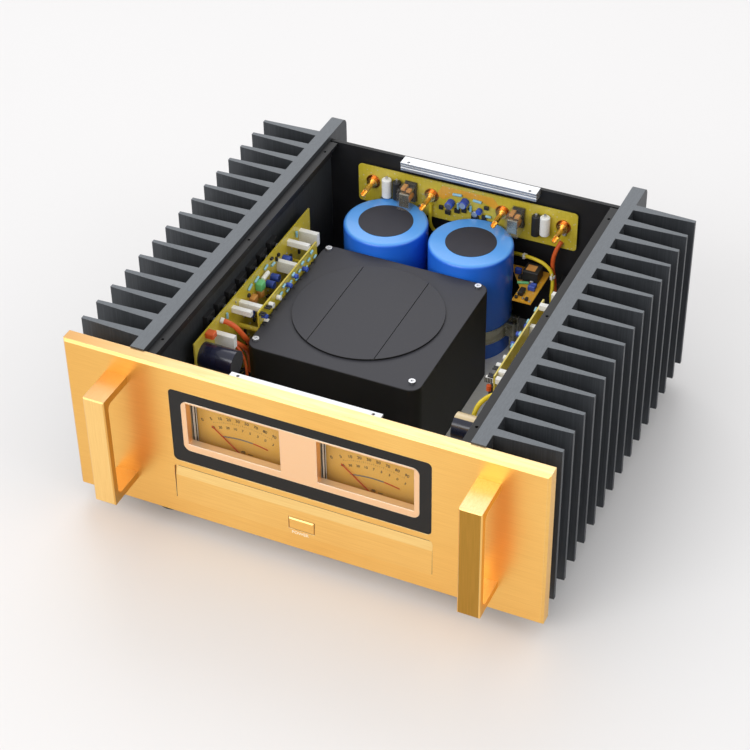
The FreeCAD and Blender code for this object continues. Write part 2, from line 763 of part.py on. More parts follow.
def amp_board(side, label):
    """Upright board along a heatsink."""
    x = d.amp_x * side if side > 0 else -d.amp_x - d.board_thick
    keep(block((x, d.amp_front, d.amp_low),
               (d.board_thick, d.amp_length, d.amp_top - d.amp_low)), label)


def driver_boards():
    """Smaller boards that stand on the amplifier boards, facing the middle."""
    boards = []
    for side in (-1, 1):
        x = d.driver_x if side > 0 else -d.driver_x - d.board_thick
        board = block((x, d.driver_front, d.driver_low),
                      (d.board_thick, d.driver_length, d.driver_top - d.driver_low))
        inner = d.driver_x + d.board_thick
        reach = d.amp_x - inner
        start = inner if side > 0 else -d.amp_x
        rear = d.driver_front + d.driver_length
        pins = [rod((start, y, d.driver_low + d.driver_inset), 2.5, reach, "x")
                for y in (d.driver_front + d.driver_inset, rear - d.driver_inset)]
        boards.append(fuse(board, *pins))
    keep(group(boards), "driver_boards")


def power_transistors():
    """Flat power transistors screwed to the inner faces of the heatsinks."""
    devices = []
    for side in (-1, 1):
        for index in range(7):
            y = d.device_first + d.device_pitch * index
            left = d.sink_inner - 5 if side > 0 else -d.sink_inner
            body = block((left, y - 7.8, d.device_z - 14), (5, 15.6, 20))
            head_x = d.sink_inner - 5 - 2 if side > 0 else -d.sink_inner + 5
            devices.append(fuse(body, rod((head_x, y, d.device_z), 2.8, 2, "x")))
    keep(group(devices), "power_transistors")


RESISTORS = (
    # place along the board, height of the middle, width, depth
    (124.3, 120, 6.2, 13.2), (160, 129.5, 5.5, 6), (175.6, 126, 5.5, 6),
    (257.8, 118, 5.5, 13), (282.5, 130, 5.5, 6), (309.5, 121.5, 6, 14.5),
)


def cement_resistors():
    """White emitter resistors that stand out from the boards."""
    blocks = []
    driver_rear = d.driver_front.value + d.driver_length.value
    for side, row in ((-1, RESISTORS), (1, RESISTORS[1:])):
        for y, z, wide, tall in row:
            beside = d.driver_front.value < y < driver_rear
            reach = 24 if beside else 21
            left = d.amp_x - reach if side > 0 else -d.amp_x
            solid = block((left, y - wide / 2, z - tall / 2), (reach, wide, tall))
            blocks.append(rounded(solid, 0.5, along("x")))
    keep(group(blocks), "cement_resistors")


def board_capacitors():
    """Dark electrolytics that lie across the front ends of the boards."""
    cans = []
    for side in (-1, 1):
        start = d.amp_x - d.reservoir_length if side > 0 else -d.amp_x
        cans.append(rod((start, d.reservoir_y, d.reservoir_z), d.reservoir_radius,
                        d.reservoir_length, "x"))
    keep(group(cans), "board_capacitors")


# ---- back ------------------------------------------------------------------

def protection_board():
    """Board behind the rear panel that joins the speaker terminals."""
    plate = block((d.guard_left, d.guard_y, d.guard_low),
                  (d.guard_width, d.board_thick, d.guard_height))
    plate = rounded(plate, d.guard_corner, along("y"))
    holes = [rod((x, d.guard_y - 1, d.post_z), 4.05, 4, "y") for x in post_places()]
    keep(cut(plate, *holes), "protection_board")


def relays():
    """Two clear-cased relays on the protection board."""
    cases = []
    for x in (d.relay_left, d.relay_right):
        case = block((x - d.relay_width / 2, d.guard_y - d.relay_reach, d.relay_low),
                     (d.relay_width, d.relay_reach, d.relay_height))
        cases.append(rounded(case, 0.8, along("y")))
    keep(group(cases), "relays")


def speaker_posts():
    """Four fixed terminal stems through the rear panel and the board."""
    posts = []
    rear = d.rear_y + d.rear_thick
    for x in post_places():
        stem = rod((x, d.guard_y - 7, d.post_z), 4, d.post_reach + rear - d.guard_y + 7, "y")
        washer = rod((x, d.guard_y - d.washer_thick, d.post_z), d.washer_radius,
                     d.washer_thick, "y")
        nut = rod((x, d.guard_y - 5, d.post_z), 5.6, 4, "y")
        tail = rod((x, d.guard_y - d.tail_reach, d.post_z), d.tail_radius, d.tail_reach, "y")
        cup = rod((x, d.guard_y - d.tail_reach - 1, d.post_z), d.tail_radius - 0.7, 7, "y")
        slot = block((x - d.tail_radius, d.guard_y - d.tail_reach - 1, d.post_z + 0.6),
                     (d.tail_radius * 2, 7, d.tail_radius))
        collar = rod((x, rear, d.post_z), 8.5, 5, "y")
        spacer = rod((x, d.guard_y + d.board_thick, d.post_z), 7,
                     d.rear_y - d.guard_y - d.board_thick, "y")
        bore = rod((x, rear + d.post_reach - 24, d.post_z), d.post_bore, 26, "y")
        lug = cut(tail, cup, slot)
        posts.append(cut(fuse(stem, washer, nut, lug, collar, spacer), bore))
    keep(group(posts), "speaker_posts")


def post_cap(x, label):
    """Screw-down cap of a terminal, open at its end for a plug."""
    start = d.rear_y + d.rear_thick + 5.3
    length = d.cap_reach - 5.3
    outer = rod((x, start, d.post_z), 8, length, "y")
    grooves = []
    for index in range(12):
        angle = math.radians(30 * index)
        groove = rod((x + 8.6 * math.cos(angle), start + 3, d.post_z + 8.6 * math.sin(angle)),
                     1.2, length - 5, "y")
        grooves.append(groove)
    bore = rod((x, start - 1, d.post_z), 4.06, length + 2, "y")
    keep(cut(outer, bore, *grooves), label)


def input_jacks():
    """Two coaxial line inputs."""
    jacks = []
    rear = d.rear_y + d.rear_thick
    for z in (d.jack_low, d.jack_high):
        x = d.jack_x
        barrel = rod((x, d.rear_y - 9, z), d.jack_radius, 9 + d.rear_thick + 10.5, "y")
        flange = rod((x, rear, z), 8, 2.5, "y")
        thread = rod((x, d.rear_y - 6, z), 5.9, 6 + d.rear_thick, "y")
        nut = rod((x, d.rear_y - 4, z), 8, 4, "y")
        tag = rod((x, d.rear_y - 14, z), 1.5, 6, "y")
        hollow = rod((x, rear + 2, z), 3.2, 9, "y")
        core = rod((x, rear + 1, z), 2.9, 9.2, "y")
        hole = rod((x, rear + 3, z), 1.65, 9, "y")
        shell = cut(fuse(barrel, flange, thread, nut, tag), hollow)
        jacks.append(cut(fuse(shell, core), hole))
    keep(group(jacks), "input_jacks")


def mains_inlet():
    """Three-pin inlet with a fuse drawer below it."""
    x = d.inlet_x
    z = d.inlet_z
    rear = d.rear_y + d.rear_thick
    flange = block((x - 25, rear, z - 29), (50, 3, 58))
    body = block((x - 14, d.rear_y - 16, z - 24), (28, 16 + d.rear_thick + 0.5, 48))
    socket = block((x - 12.2, rear - 14, z - 2), (24.4, 20, 17.4))
    drawer_well = block((x - 12.2, rear - 16, z - 20), (24.4, 20, 13))
    pins = []
    for shift, high in ((-7, 5), (0, 9), (7, 5)):
        pins.append(block((x + shift - 1, rear - 15, z + high - 2), (2, 12, 4)))
    blades = [block((x + shift - 3, d.rear_y - 24, z + 4), (6, 9, 0.8)) for shift in (-8, 0, 8)]
    shell = cut(fuse(flange, body), socket, drawer_well)
    keep(fuse(shell, *pins, *blades), "mains_inlet")


def fuse_drawer():
    """Drawer for the mains fuse, drawn out to the back."""
    rear = d.rear_y + d.rear_thick
    tray = block((d.inlet_x - 11.9, rear - 15.6, d.inlet_z - 19.7), (23.8, 20.1, 12.4))
    pit = block((d.inlet_x - 10.5, rear - 14, d.inlet_z - 17.5), (21, 12, 12))
    lip = block((d.inlet_x - 6, rear + 4, d.inlet_z - 19), (12, 2, 3))
    keep(fuse(cut(tray, pit), lip), "fuse_drawer")


def mains_fuse():
    """Glass fuse lying in the drawer."""
    rear = d.rear_y + d.rear_thick
    keep(rod((d.inlet_x - 10, rear - 8, d.inlet_z - 14.9), 2.6, 20, "x"), "mains_fuse")


def soft_start():
    """Small board beside the right can, on an angle from the rear panel."""
    body = new_body("soft_start_board")
    sketch = new_sketch(body, "XY_Plane", d.start_z)
    outline(sketch, [(d.start_step, d.start_front), (d.start_right, d.start_front),
                     (d.start_right, d.start_rear), (d.start_left, d.start_rear),
                     (d.start_left, d.start_rear - 1), (d.start_step, d.start_slant)])
    pad(body, sketch, d.board_thick)
    body = new_body("soft_start_bracket")
    sketch = new_sketch(body, "YZ_Plane", d.start_left + 2)
    thick = d.bracket_thick
    top = d.start_z
    outline(sketch, [(d.rear_y - d.bracket_depth, top - thick), (d.rear_y - d.bracket_depth, top),
                     (d.rear_y, top), (d.rear_y, top - d.bracket_drop),
                     (d.rear_y - thick, top - d.bracket_drop), (d.rear_y - thick, top - thick)])
    pad(body, sketch, d.start_right - d.start_left - 4)


def board_standoffs():
    """Spacers that carry the amplifier boards on the heatsinks."""
    legs = []
    reach = d.sink_inner - d.amp_x - d.board_thick
    for side in (-1, 1):
        start = d.amp_x + d.board_thick if side > 0 else -d.sink_inner
        for y in (d.amp_front + 6, d.amp_front + d.amp_length - 6):
            for z in (d.amp_low + 6, d.amp_low + 46):
                legs.append(rod((start, y, z), 3, reach, "x"))
    keep(group(legs), "board_standoffs")


# ---- wiring ----------------------------------------------------------------

def lead(points, radius):
    """A wire of straight runs joined by tangent arcs through a list of points."""
    places = [Vector(*point) + Vector(0, d.origin_y.value, d.origin_z.value) for point in points]
    edges = []
    start = places[0]
    tightest = None
    for before, corner, after in zip(places, places[1:], places[2:]):
        first = (before - corner)
        last = (after - corner)
        half_turn = (math.pi - first.getAngle(last)) / 2
        trim = 0.45 * min(first.Length, last.Length)
        bend = trim / math.tan(half_turn)
        tightest = bend if tightest is None else min(tightest, bend)
        first.normalize()
        last.normalize()
        entry = corner + first * trim
        leave = corner + last * trim
        inward = first + last
        inward.normalize()
        middle = corner + inward * (bend / math.cos(half_turn) - bend)
        edges.append(Part.LineSegment(start, entry).toShape())
        edges.append(Part.Arc(entry, middle, leave).toShape())
        start = leave
    edges.append(Part.LineSegment(start, places[-1]).toShape())
    path = Part.Wire(edges)
    ring = Part.Wire(Part.makeCircle(radius, places[0], places[1] - places[0]))
    solid = path.makePipeShell([ring], True, True)
    ratio = solid.Volume / (math.pi * radius ** 2 * path.Length)
    print(f"lead: length {path.Length:.0f}, tightest bend {tightest:.1f}, volume ratio {ratio:.3f}")
    return solid


def wire_set(label, routes):
    """Several wires of one colour, each with its own radius."""
    feature = doc.addObject("Part::Feature", label)
    feature.Shape = Part.Compound([lead(points, radius) for radius, points in routes])
    keep(feature, label)


YELLOW_ROUTES = (
    # radius, then the points from end to end
    (1.9, ((-43, 404.8, 129.5), (-43.5, 404.8, 118), (-44.6, 406.5, 108), (-44.6, 408.2, 100.3),
           (-40.9, 409, 93.7), (-34.4, 409.2, 90), (30, 409.2, 90), (46, 407.2, 91.5),
           (56, 402, 95.5), (67.8, 394, 101.2), (79.4, 392, 101.8), (90.5, 392, 98.6),
           (98.6, 391.5, 91), (101, 389.5, 78), (101.5, 383, 64), (108, 375, 50),
           (124, 364, 42), (146.6, 353, 45))),
    (2.3, ((147.2, 152, 122), (138, 147, 127), (128, 140, 124.5), (122.3, 130.5, 120.5),
           (120.4, 123, 112), (120.3, 119, 99), (121.5, 118, 82))),
)
ORANGE_ROUTES = (
    (2.3, ((102.5, 405, 121.5), (98.2, 401, 111), (96.4, 398.5, 100), (97.1, 398, 88),
           (100, 396.8, 76), (103.2, 390, 64), (110, 381, 55), (127, 369.5, 50.5),
           (146.6, 359, 60))),
    (2.6, ((-147.9, 135, 133.3), (-140, 136.6, 131), (-134, 139.2, 125.2),
           (-130.6, 142, 117.5), (-128.2, 146.5, 108), (-127.4, 152, 99), (-127.4, 157, 88),
           (-127.4, 160, 74))),
    (2.6, ((-147, 133, 115), (-138.2, 134, 112.4), (-131.4, 137.4, 107),
           (-127.9, 142.8, 100), (-127.4, 148, 91), (-127.4, 150, 79), (-127.4, 150, 66))),
    (1.4, ((-146.8, 128.8, 111.6), (-138, 129.4, 111.4), (-131.9, 131, 109.6),
           (-127.8, 131.3, 105.5), (-123.9, 131.5, 98), (-121.6, 131.2, 86),
           (-121.3, 131, 68))),
)


def wiring():
    """Leads from the amplifier boards to the terminals and the supply."""
    wire_set("yellow_wires", YELLOW_ROUTES)
    wire_set("orange_wires", ORANGE_ROUTES)


# ---- build and export ------------------------------------------------------

def build():
    """Makes every sub-part."""
    front_panel()
    window_frame()
    meter_bezel()
    for side, name in ((-1, "left"), (1, "right")):
        meter_case(side, f"meter_case_{name}")
        dial(side, f"dial_{name}")
        needle(side, f"needle_{name}")
        handle(side, f"handle_{name}")
        heatsink(side, f"heatsink_{name}")
        side_rail(side, f"side_rail_{name}")
        amp_board(side, f"amp_board_{name}")
    meter_movements()
    meter_glasses()
    power_button()
    power_switch()
    handle_screws()
    bottom_plate()
    rear_panel()
    lid_bars()
    feet_and_screws()
    chassis_screws()
    transformer()
    capacitor(d.can_left, "capacitor_left")
    capacitor(d.can_right, "capacitor_right")
    capacitor_fittings()
    rectifiers()
    driver_boards()
    power_transistors()
    cement_resistors()
    board_capacitors()
    protection_board()
    relays()
    speaker_posts()
    for number, x in enumerate(post_places(), 1):
        post_cap(x, f"post_cap_{number}")
    input_jacks()
    mains_inlet()
    fuse_drawer()
    mains_fuse()
    soft_start()
    board_standoffs()
    wiring()


def check():
    """Stops on any failed object or any empty or broken sub-part."""
    for item in doc.Objects:
        if "Invalid" in item.State or "Error" in item.State:
            raise RuntimeError(f"{item.Name} ({item.Label}) failed: {item.State}")
    for item in parts:
        if item.Shape.isNull() or not item.Shape.isValid() or not item.Shape.Solids:
            raise RuntimeError(f"{item.Label} has no valid shape")


def export():
    """Writes one STEP file for each sub-part."""
    os.makedirs("parts", exist_ok=True)
    for item in parts:
        item.Shape.exportStep(f"parts/{item.Label}.step")
    print(f"{len(parts)} sub-parts")


build()
doc.recompute()
check()
export()
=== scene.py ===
# %% [markdown]
# A stereo power amplifier with its lid off. Its frame comes from the CAD
# model: every panel, fin, can, board and joint is already in place, in metres.
# This script gives those parts their finishes and adds the small pieces that
# a close look finds: dial prints, board parts, screws, rings and ties.

# %% Load the frame
import math
import random
import bpy
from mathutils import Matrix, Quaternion, Vector


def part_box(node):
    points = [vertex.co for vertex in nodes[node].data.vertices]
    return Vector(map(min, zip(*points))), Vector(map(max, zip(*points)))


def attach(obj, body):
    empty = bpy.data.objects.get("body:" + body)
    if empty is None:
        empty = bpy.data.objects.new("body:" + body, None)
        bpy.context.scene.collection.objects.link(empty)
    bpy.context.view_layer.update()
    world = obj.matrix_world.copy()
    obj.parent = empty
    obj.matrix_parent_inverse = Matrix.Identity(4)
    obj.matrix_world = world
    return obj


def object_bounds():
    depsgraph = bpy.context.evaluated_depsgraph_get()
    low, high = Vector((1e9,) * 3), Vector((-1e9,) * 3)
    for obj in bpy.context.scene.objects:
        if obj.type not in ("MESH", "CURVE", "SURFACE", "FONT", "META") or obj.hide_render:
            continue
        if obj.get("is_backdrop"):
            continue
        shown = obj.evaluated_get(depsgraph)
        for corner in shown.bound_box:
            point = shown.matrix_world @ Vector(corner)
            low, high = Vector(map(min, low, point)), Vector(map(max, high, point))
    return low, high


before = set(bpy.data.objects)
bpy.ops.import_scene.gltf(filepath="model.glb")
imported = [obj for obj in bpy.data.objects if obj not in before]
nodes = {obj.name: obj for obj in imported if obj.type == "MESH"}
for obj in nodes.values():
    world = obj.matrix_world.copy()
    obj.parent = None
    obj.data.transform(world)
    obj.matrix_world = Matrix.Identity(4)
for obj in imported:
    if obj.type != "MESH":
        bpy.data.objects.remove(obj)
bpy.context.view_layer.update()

MM = 0.001
SIDES = (("left", -1), ("right", 1))
LIFT = 0.05     # how far a flat part stands off the face behind it
GAP = 0.02      # how far a small part stands off its board
panel_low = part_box("front_panel")[0]


def at(x, y, z):
    """A place in the chassis in millimetres: x from the middle, y back from the
    face of the front panel, z up from its lower edge."""
    return Vector((x * MM, panel_low.y + y * MM, panel_low.z + z * MM))


# %% [markdown]
# Every operator acts on whatever is selected, so each step starts by
# selecting exactly one object. A finished piece keeps its place in its mesh,
# which is why its location, turn and scale are applied at the end.

# %% Selection and finishing helpers
def take(*pieces):
    """Selects these objects alone and makes the first one active."""
    if bpy.context.object and bpy.context.object.mode != "OBJECT":
        bpy.ops.object.mode_set(mode="OBJECT")
    bpy.ops.object.select_all(action="DESELECT")
    for piece in pieces:
        piece.select_set(True)
    bpy.context.view_layer.objects.active = pieces[0] if pieces else None


def settle(piece):
    """Writes the object's place into its mesh."""
    take(piece)
    bpy.ops.object.transform_apply(location=True, rotation=True, scale=True)
    return piece


def smooth(piece, angle=35):
    """Smooth shading, with the edges sharper than the angle left crisp."""
    take(piece)
    bpy.ops.object.shade_smooth_by_angle(angle=math.radians(angle))
    return piece


def mount(piece, name, material, body="chassis"):
    """Names a finished piece, gives it its finish and lets it ride on a body.
    A list of objects is joined into one piece first."""
    if isinstance(piece, list):
        piece = joined(piece)
    piece.name = name
    piece.data.name = name
    piece.data.materials.clear()
    piece.data.materials.append(material)
    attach(piece, body)
    return piece


# %% [markdown]
# Three ways to start a piece cover almost everything in an amplifier: a block
# with rounded edges, a turned form made by extruding a disc ring by ring, and
# copies of one model set out along a board.

# %% Modelling helpers
def turned(profile, sides=32, turn=None, place=(0, 0, 0)):
    """A lathe form from (radius, height) steps, then turned and moved into place."""
    take()
    radius, height = profile[0]
    bpy.ops.mesh.primitive_circle_add(vertices=sides, radius=radius, fill_type="NGON",
                                      location=(0, 0, height))
    piece = settle(bpy.context.object)
    bpy.ops.object.mode_set(mode="EDIT")
    bpy.ops.mesh.select_all(action="SELECT")
    for next_radius, next_height in profile[1:]:
        bpy.ops.mesh.extrude_region_move(
            TRANSFORM_OT_translate={"value": (0, 0, next_height - height)})
        ratio = next_radius / radius
        bpy.ops.transform.resize(value=(ratio, ratio, 1), center_override=(0, 0, next_height))
        radius, height = next_radius, next_height
    bpy.ops.mesh.select_all(action="SELECT")
    bpy.ops.mesh.normals_make_consistent(inside=False)
    bpy.ops.object.mode_set(mode="OBJECT")
    if turn:
        piece.rotation_euler = turn
    piece.location = place
    return smooth(settle(piece))


ALONG_Y = (math.radians(-90), 0, 0)
TOWARD_FRONT = (math.radians(90), 0, 0)


def joined(pieces):
    """Joins several objects into the first one."""
    take(*pieces)
    if len(pieces) > 1:
        bpy.ops.object.join()
    return bpy.context.object


def slab(low, high, radius=0.3):
    """A block between two places of the chassis, with edges eased by a radius."""
    take()
    low, high = at(*low), at(*high)
    bpy.ops.mesh.primitive_cube_add(size=1, location=(low + high) / 2)
    piece = bpy.context.object
    piece.scale = high - low
    settle(piece)
    rounding = piece.modifiers.new("Edges", "BEVEL")
    rounding.width = radius * MM
    rounding.segments = 1
    rounding.limit_method = "ANGLE"
    bpy.ops.object.modifier_apply(modifier=rounding.name)
    return smooth(piece)


def rod(start, end, radius, sides=16):
    """A round bar with eased ends between two places of the chassis."""
    start, end = at(*start), at(*end)
    length = (end - start).length
    radius *= MM
    ease = min(radius, length) * 0.15
    piece = turned([(radius - ease, 0), (radius, ease), (radius, length - ease),
                    (radius - ease, length)], sides)
    piece.rotation_euler = (end - start).to_track_quat("Z", "Y").to_euler()
    piece.location = start
    return smooth(settle(piece))


def spread(model, places, turn=(0, 0, 0)):
    """Copies of one model at many places, joined; the model itself is used up."""
    copies = []
    for place in places:
        copy = model.copy()
        copy.data = model.data.copy()
        bpy.context.collection.objects.link(copy)
        copy.rotation_euler = turn
        copy.location = place
        copies.append(copy)
    bpy.data.objects.remove(model, do_unlink=True)
    return settle(joined(copies))


# %% [markdown]
# Finishes are built from nodes. The effects that several of them share are
# node groups: a noise that can be stretched into brushing, a mask for faces
# that look a given way, and a rounded-edge normal with a mask of the edges.

# %% Node group helpers
def new_group(name, inputs, outputs):
    """An empty shader group with named sockets; returns it with its end nodes."""
    group = bpy.data.node_groups.new(name, "ShaderNodeTree")
    for socket, kind, value in inputs:
        made = group.interface.new_socket(name=socket, in_out="INPUT", socket_type=kind)
        made.default_value = value
    for socket, kind in outputs:
        group.interface.new_socket(name=socket, in_out="OUTPUT", socket_type=kind)
    start = group.nodes.new("NodeGroupInput")
    end = group.nodes.new("NodeGroupOutput")
    return group, start, end


def math_node(tree, operation, first, second=None, clamp=False):
    """A math node fed by sockets or by plain numbers; returns its output."""
    node = tree.nodes.new("ShaderNodeMath")
    node.operation = operation
    node.use_clamp = clamp
    for socket, value in zip(node.inputs, (first, second)):
        if value is None:
            continue
        if isinstance(value, bpy.types.NodeSocket):
            tree.links.new(value, socket)
        else:
            socket.default_value = value
    return node.outputs[0]


# %% Shared effects
def grain_group():
    """Noise stretched by a scale along each axis, for brushing and sanding."""
    group, start, end = new_group(
        "Grain", [("Scale", "NodeSocketVector", (1, 1, 1)), ("Detail", "NodeSocketFloat", 3.0)],
        [("Value", "NodeSocketFloat")])
    link = group.links.new
    place = group.nodes.new("ShaderNodeTexCoord")
    stretch = group.nodes.new("ShaderNodeVectorMath")
    stretch.operation = "MULTIPLY"
    noise = group.nodes.new("ShaderNodeTexNoise")
    noise.inputs["Scale"].default_value = 1.0
    link(place.outputs["Object"], stretch.inputs[0])
    link(start.outputs["Scale"], stretch.inputs[1])
    link(stretch.outputs[0], noise.inputs["Vector"])
    link(start.outputs["Detail"], noise.inputs["Detail"])
    link(noise.outputs["Fac"], end.inputs["Value"])
    return group


def likeness(group, first, second):
    """Compares two directions; returns the range node that turns it into a mask."""
    dot = group.nodes.new("ShaderNodeVectorMath")
    dot.operation = "DOT_PRODUCT"
    span = group.nodes.new("ShaderNodeMapRange")
    group.links.new(first, dot.inputs[0])
    group.links.new(second, dot.inputs[1])
    group.links.new(dot.outputs["Value"], span.inputs["Value"])
    return span


def facing_group():
    """A mask that is one where the surface looks along a given direction."""
    group, start, end = new_group(
        "Facing", [("Direction", "NodeSocketVector", (0, 0, 1)),
                   ("From", "NodeSocketFloat", 0.8), ("To", "NodeSocketFloat", 0.95)],
        [("Mask", "NodeSocketFloat")])
    link = group.links.new
    surface = group.nodes.new("ShaderNodeNewGeometry")
    span = likeness(group, surface.outputs["Normal"], start.outputs["Direction"])
    link(start.outputs["From"], span.inputs["From Min"])
    link(start.outputs["To"], span.inputs["From Max"])
    link(span.outputs["Result"], end.inputs["Mask"])
    return group


def edge_group():
    """Softened normal at sharp edges, and a mask of where the edges are."""
    group, start, end = new_group(
        "Soft edge", [("Radius", "NodeSocketFloat", 0.0006)],
        [("Mask", "NodeSocketFloat"), ("Normal", "NodeSocketVector")])
    link = group.links.new
    bevel = group.nodes.new("ShaderNodeBevel")
    bevel.samples = 4
    surface = group.nodes.new("ShaderNodeNewGeometry")
    span = likeness(group, bevel.outputs["Normal"], surface.outputs["True Normal"])
    span.inputs["From Min"].default_value = 0.98
    span.inputs["From Max"].default_value = 0.8
    link(start.outputs["Radius"], bevel.inputs["Radius"])
    link(span.outputs["Result"], end.inputs["Mask"])
    link(bevel.outputs["Normal"], end.inputs["Normal"])
    return group


GRAIN = grain_group()
FACING = facing_group()
EDGE = edge_group()
print("shared effects:", [group.name for group in bpy.data.node_groups])

# %% [markdown]
# A small class keeps the recipe of a finish readable: it starts with a
# Principled shader, and every call adds one effect to a colour, a roughness
# or a height before they are joined up at the end.

# %% The finish builder
class Finish:
    """A procedural material, built up effect by effect."""

    def __init__(self, name, color, metallic=0.0, roughness=0.5, **plain):
        self.material = bpy.data.materials.new(name)
        self.material.use_nodes = True
        self.tree = self.material.node_tree
        self.shader = self.tree.nodes["Principled BSDF"]
        self.shader.inputs["Metallic"].default_value = metallic
        self.shader.inputs["Roughness"].default_value = roughness
        self.shader.inputs["Base Color"].default_value = (*color, 1)
        for socket, value in plain.items():
            self.shader.inputs[socket.replace("_", " ")].default_value = value
        self.color = None
        self.start_color = (*color, 1)
        self.roughness = roughness
        self.rough_socket = None
        self.height = None
        self.normal = None

    def node(self, kind):
        """A new node of this kind in the material."""
        return self.tree.nodes.new("ShaderNode" + kind)

    def link(self, source, target):
        """Feeds one socket from another."""
        self.tree.links.new(source, target)

    def group(self, group, **values):
        """Places a shared effect with its own values."""
        node = self.node("Group")
        node.node_tree = group
        for socket, value in values.items():
            node.inputs[socket].default_value = value
        return node

    def grain(self, scale, detail=3.0):
        """The value of a stretched noise."""
        return self.group(GRAIN, Scale=scale, Detail=detail).outputs["Value"]

    def facing(self, direction, start=0.8, end=0.95):
        """The mask of faces that look along a direction."""
        return self.group(FACING, Direction=direction, From=start, To=end).outputs["Mask"]

    def along(self, axis):
        """The place along an axis, in metres."""
        place = self.node("TexCoord")
        split = self.node("SeparateXYZ")
        self.link(place.outputs["Object"], split.inputs[0])
        return split.outputs[axis.upper()]

    def between(self, axis, low, high):
        """The mask of what lies between two places along an axis."""
        value = self.along(axis)
        over = math_node(self.tree, "GREATER_THAN", value, low)
        under = math_node(self.tree, "LESS_THAN", value, high)
        return math_node(self.tree, "MULTIPLY", over, under)

    def ramp(self, axis, none, full):
        """The mask that grows from one place along an axis to another."""
        return self.window(self.along(axis), none, full)

    def times(self, first, second):
        """The product of two masks or numbers."""
        return math_node(self.tree, "MULTIPLY", first, second)

    def window(self, value, low, high):
        """Stretches a part of a value's range to zero and one."""
        span = self.node("MapRange")
        span.inputs["From Min"].default_value = low
        span.inputs["From Max"].default_value = high
        self.link(value, span.inputs["Value"])
        return span.outputs["Result"]

    def tint(self, mask, color, blend="MIX", strength=1.0):
        """Lays a colour over what is there, where the mask says so."""
        mix = self.node("Mix")
        mix.data_type = "RGBA"
        mix.blend_type = blend
        if self.color is None:
            mix.inputs["A"].default_value = self.start_color
        else:
            self.link(self.color, mix.inputs["A"])
        mix.inputs["B"].default_value = (*color, 1)
        if strength != 1.0:
            mask = self.times(mask, strength)
        self.link(mask, mix.inputs["Factor"])
        self.color = mix.outputs["Result"]
        return self

    def roughen(self, mask, amount):
        """Adds to the roughness where the mask is high."""
        base = self.rough_socket if self.rough_socket else self.roughness
        self.rough_socket = math_node(self.tree, "ADD", base, self.times(mask, amount), clamp=True)
        return self

    def raise_by(self, value, height):
        """Adds relief, in metres where the value is one."""
        part = self.times(value, height)
        self.height = part if self.height is None else \
            math_node(self.tree, "ADD", self.height, part)
        return self

    def soft_edges(self, radius, color=None, strength=1.0):
        """Rounds sharp edges in the light, and tints them towards a colour."""
        node = self.group(EDGE, Radius=radius)
        self.normal = node.outputs["Normal"]
        if color:
            self.tint(node.outputs["Mask"], color, strength=strength)
        return self

    def done(self):
        """Joins the effects to the shader and returns the material."""
        if self.color is not None:
            self.link(self.color, self.shader.inputs["Base Color"])
        if self.rough_socket is not None:
            self.link(self.rough_socket, self.shader.inputs["Roughness"])
        if self.height is not None:
            bump = self.node("Bump")
            bump.inputs["Distance"].default_value = 1.0
            self.link(self.height, bump.inputs["Height"])
            if self.normal is not None:
                self.link(self.normal, bump.inputs["Normal"])
            self.link(bump.outputs["Normal"], self.shader.inputs["Normal"])
        elif self.normal is not None:
            self.link(self.normal, self.shader.inputs["Normal"])
        return self.material


# %% [markdown]
# Anodised metal keeps its metallic gloss under a thin dyed film. The front is
# dyed gold over a fine horizontal brushing; the heatsinks are dyed black. Their
# tops are painted a lighter, streaked grey (painted highlight) and sawn coarse.

# %% Metal finishes
def gold_finish(name="Gold anodised", front=None, side=None, stretch=(26, 400, 1500)):
    """Brushed gold; a bar can be given painted light and shade: one colour for its front and one for
    its side.
    """
    gold = Finish(name, (1.0, 0.62, 0.185), metallic=0.92, roughness=0.30)
    brushing = gold.grain(stretch, 5)
    clouds = gold.grain((9, 9, 9), 2)
    gold.tint(gold.window(clouds, 0.3, 0.8), (0.93, 0.47, 0.10), strength=0.45)
    # Darker towards the left end: painted shade.
    gold.tint(gold.ramp("x", -0.10, -0.25), (0.72, 0.36, 0.07), strength=0.35)
    # Colours for a bar's front and side faces: painted light and shade.
    if front:
        gold.tint(gold.facing((0, -1, 0), 0.8, 0.95), front)
    if side:
        gold.tint(gold.facing((1, 0, 0), 0.8, 0.95), side)
    # The upward-tilted bevel of the door relief is painted brighter: painted highlight.
    gold.tint(gold.facing((0, -0.9857, 0.168), 0.99, 0.9995), (1.0, 0.70, 0.27))
    # Up-facing tops are painted paler (painted highlight) and darker towards the left end (painted
    # shade).
    up = gold.facing((0, 0, 1), 0.6, 0.95)
    gold.tint(up, (0.90, 0.68, 0.36))
    gold.tint(gold.times(up, gold.ramp("x", -0.04, -0.235)), (0.50, 0.27, 0.10), strength=0.9)
    gold.tint(gold.window(brushing, 0.35, 0.7), (0.72, 0.36, 0.07), strength=0.28)
    gold.roughen(brushing, 0.14).raise_by(brushing, 0.000012)
    return gold.soft_edges(0.0007, (1.0, 0.80, 0.45), 0.85).done()


def champagne_finish():
    metal = Finish("Champagne anodised", (1.0, 0.64, 0.36), metallic=0.85, roughness=0.36)
    grain = metal.grain((80, 500, 3600), 3)
    metal.tint(metal.window(grain, 0.4, 0.7), (1.0, 0.74, 0.52), strength=0.3)
    metal.roughen(grain, 0.1).raise_by(grain, 0.000005)
    # Up-facing faces painted lighter: painted highlight.
    metal.tint(metal.facing((0, 0, 1), 0.8, 0.95), (1.0, 0.85, 0.66))
    return metal.soft_edges(0.0012, (1.0, 0.88, 0.72), 0.9).done()


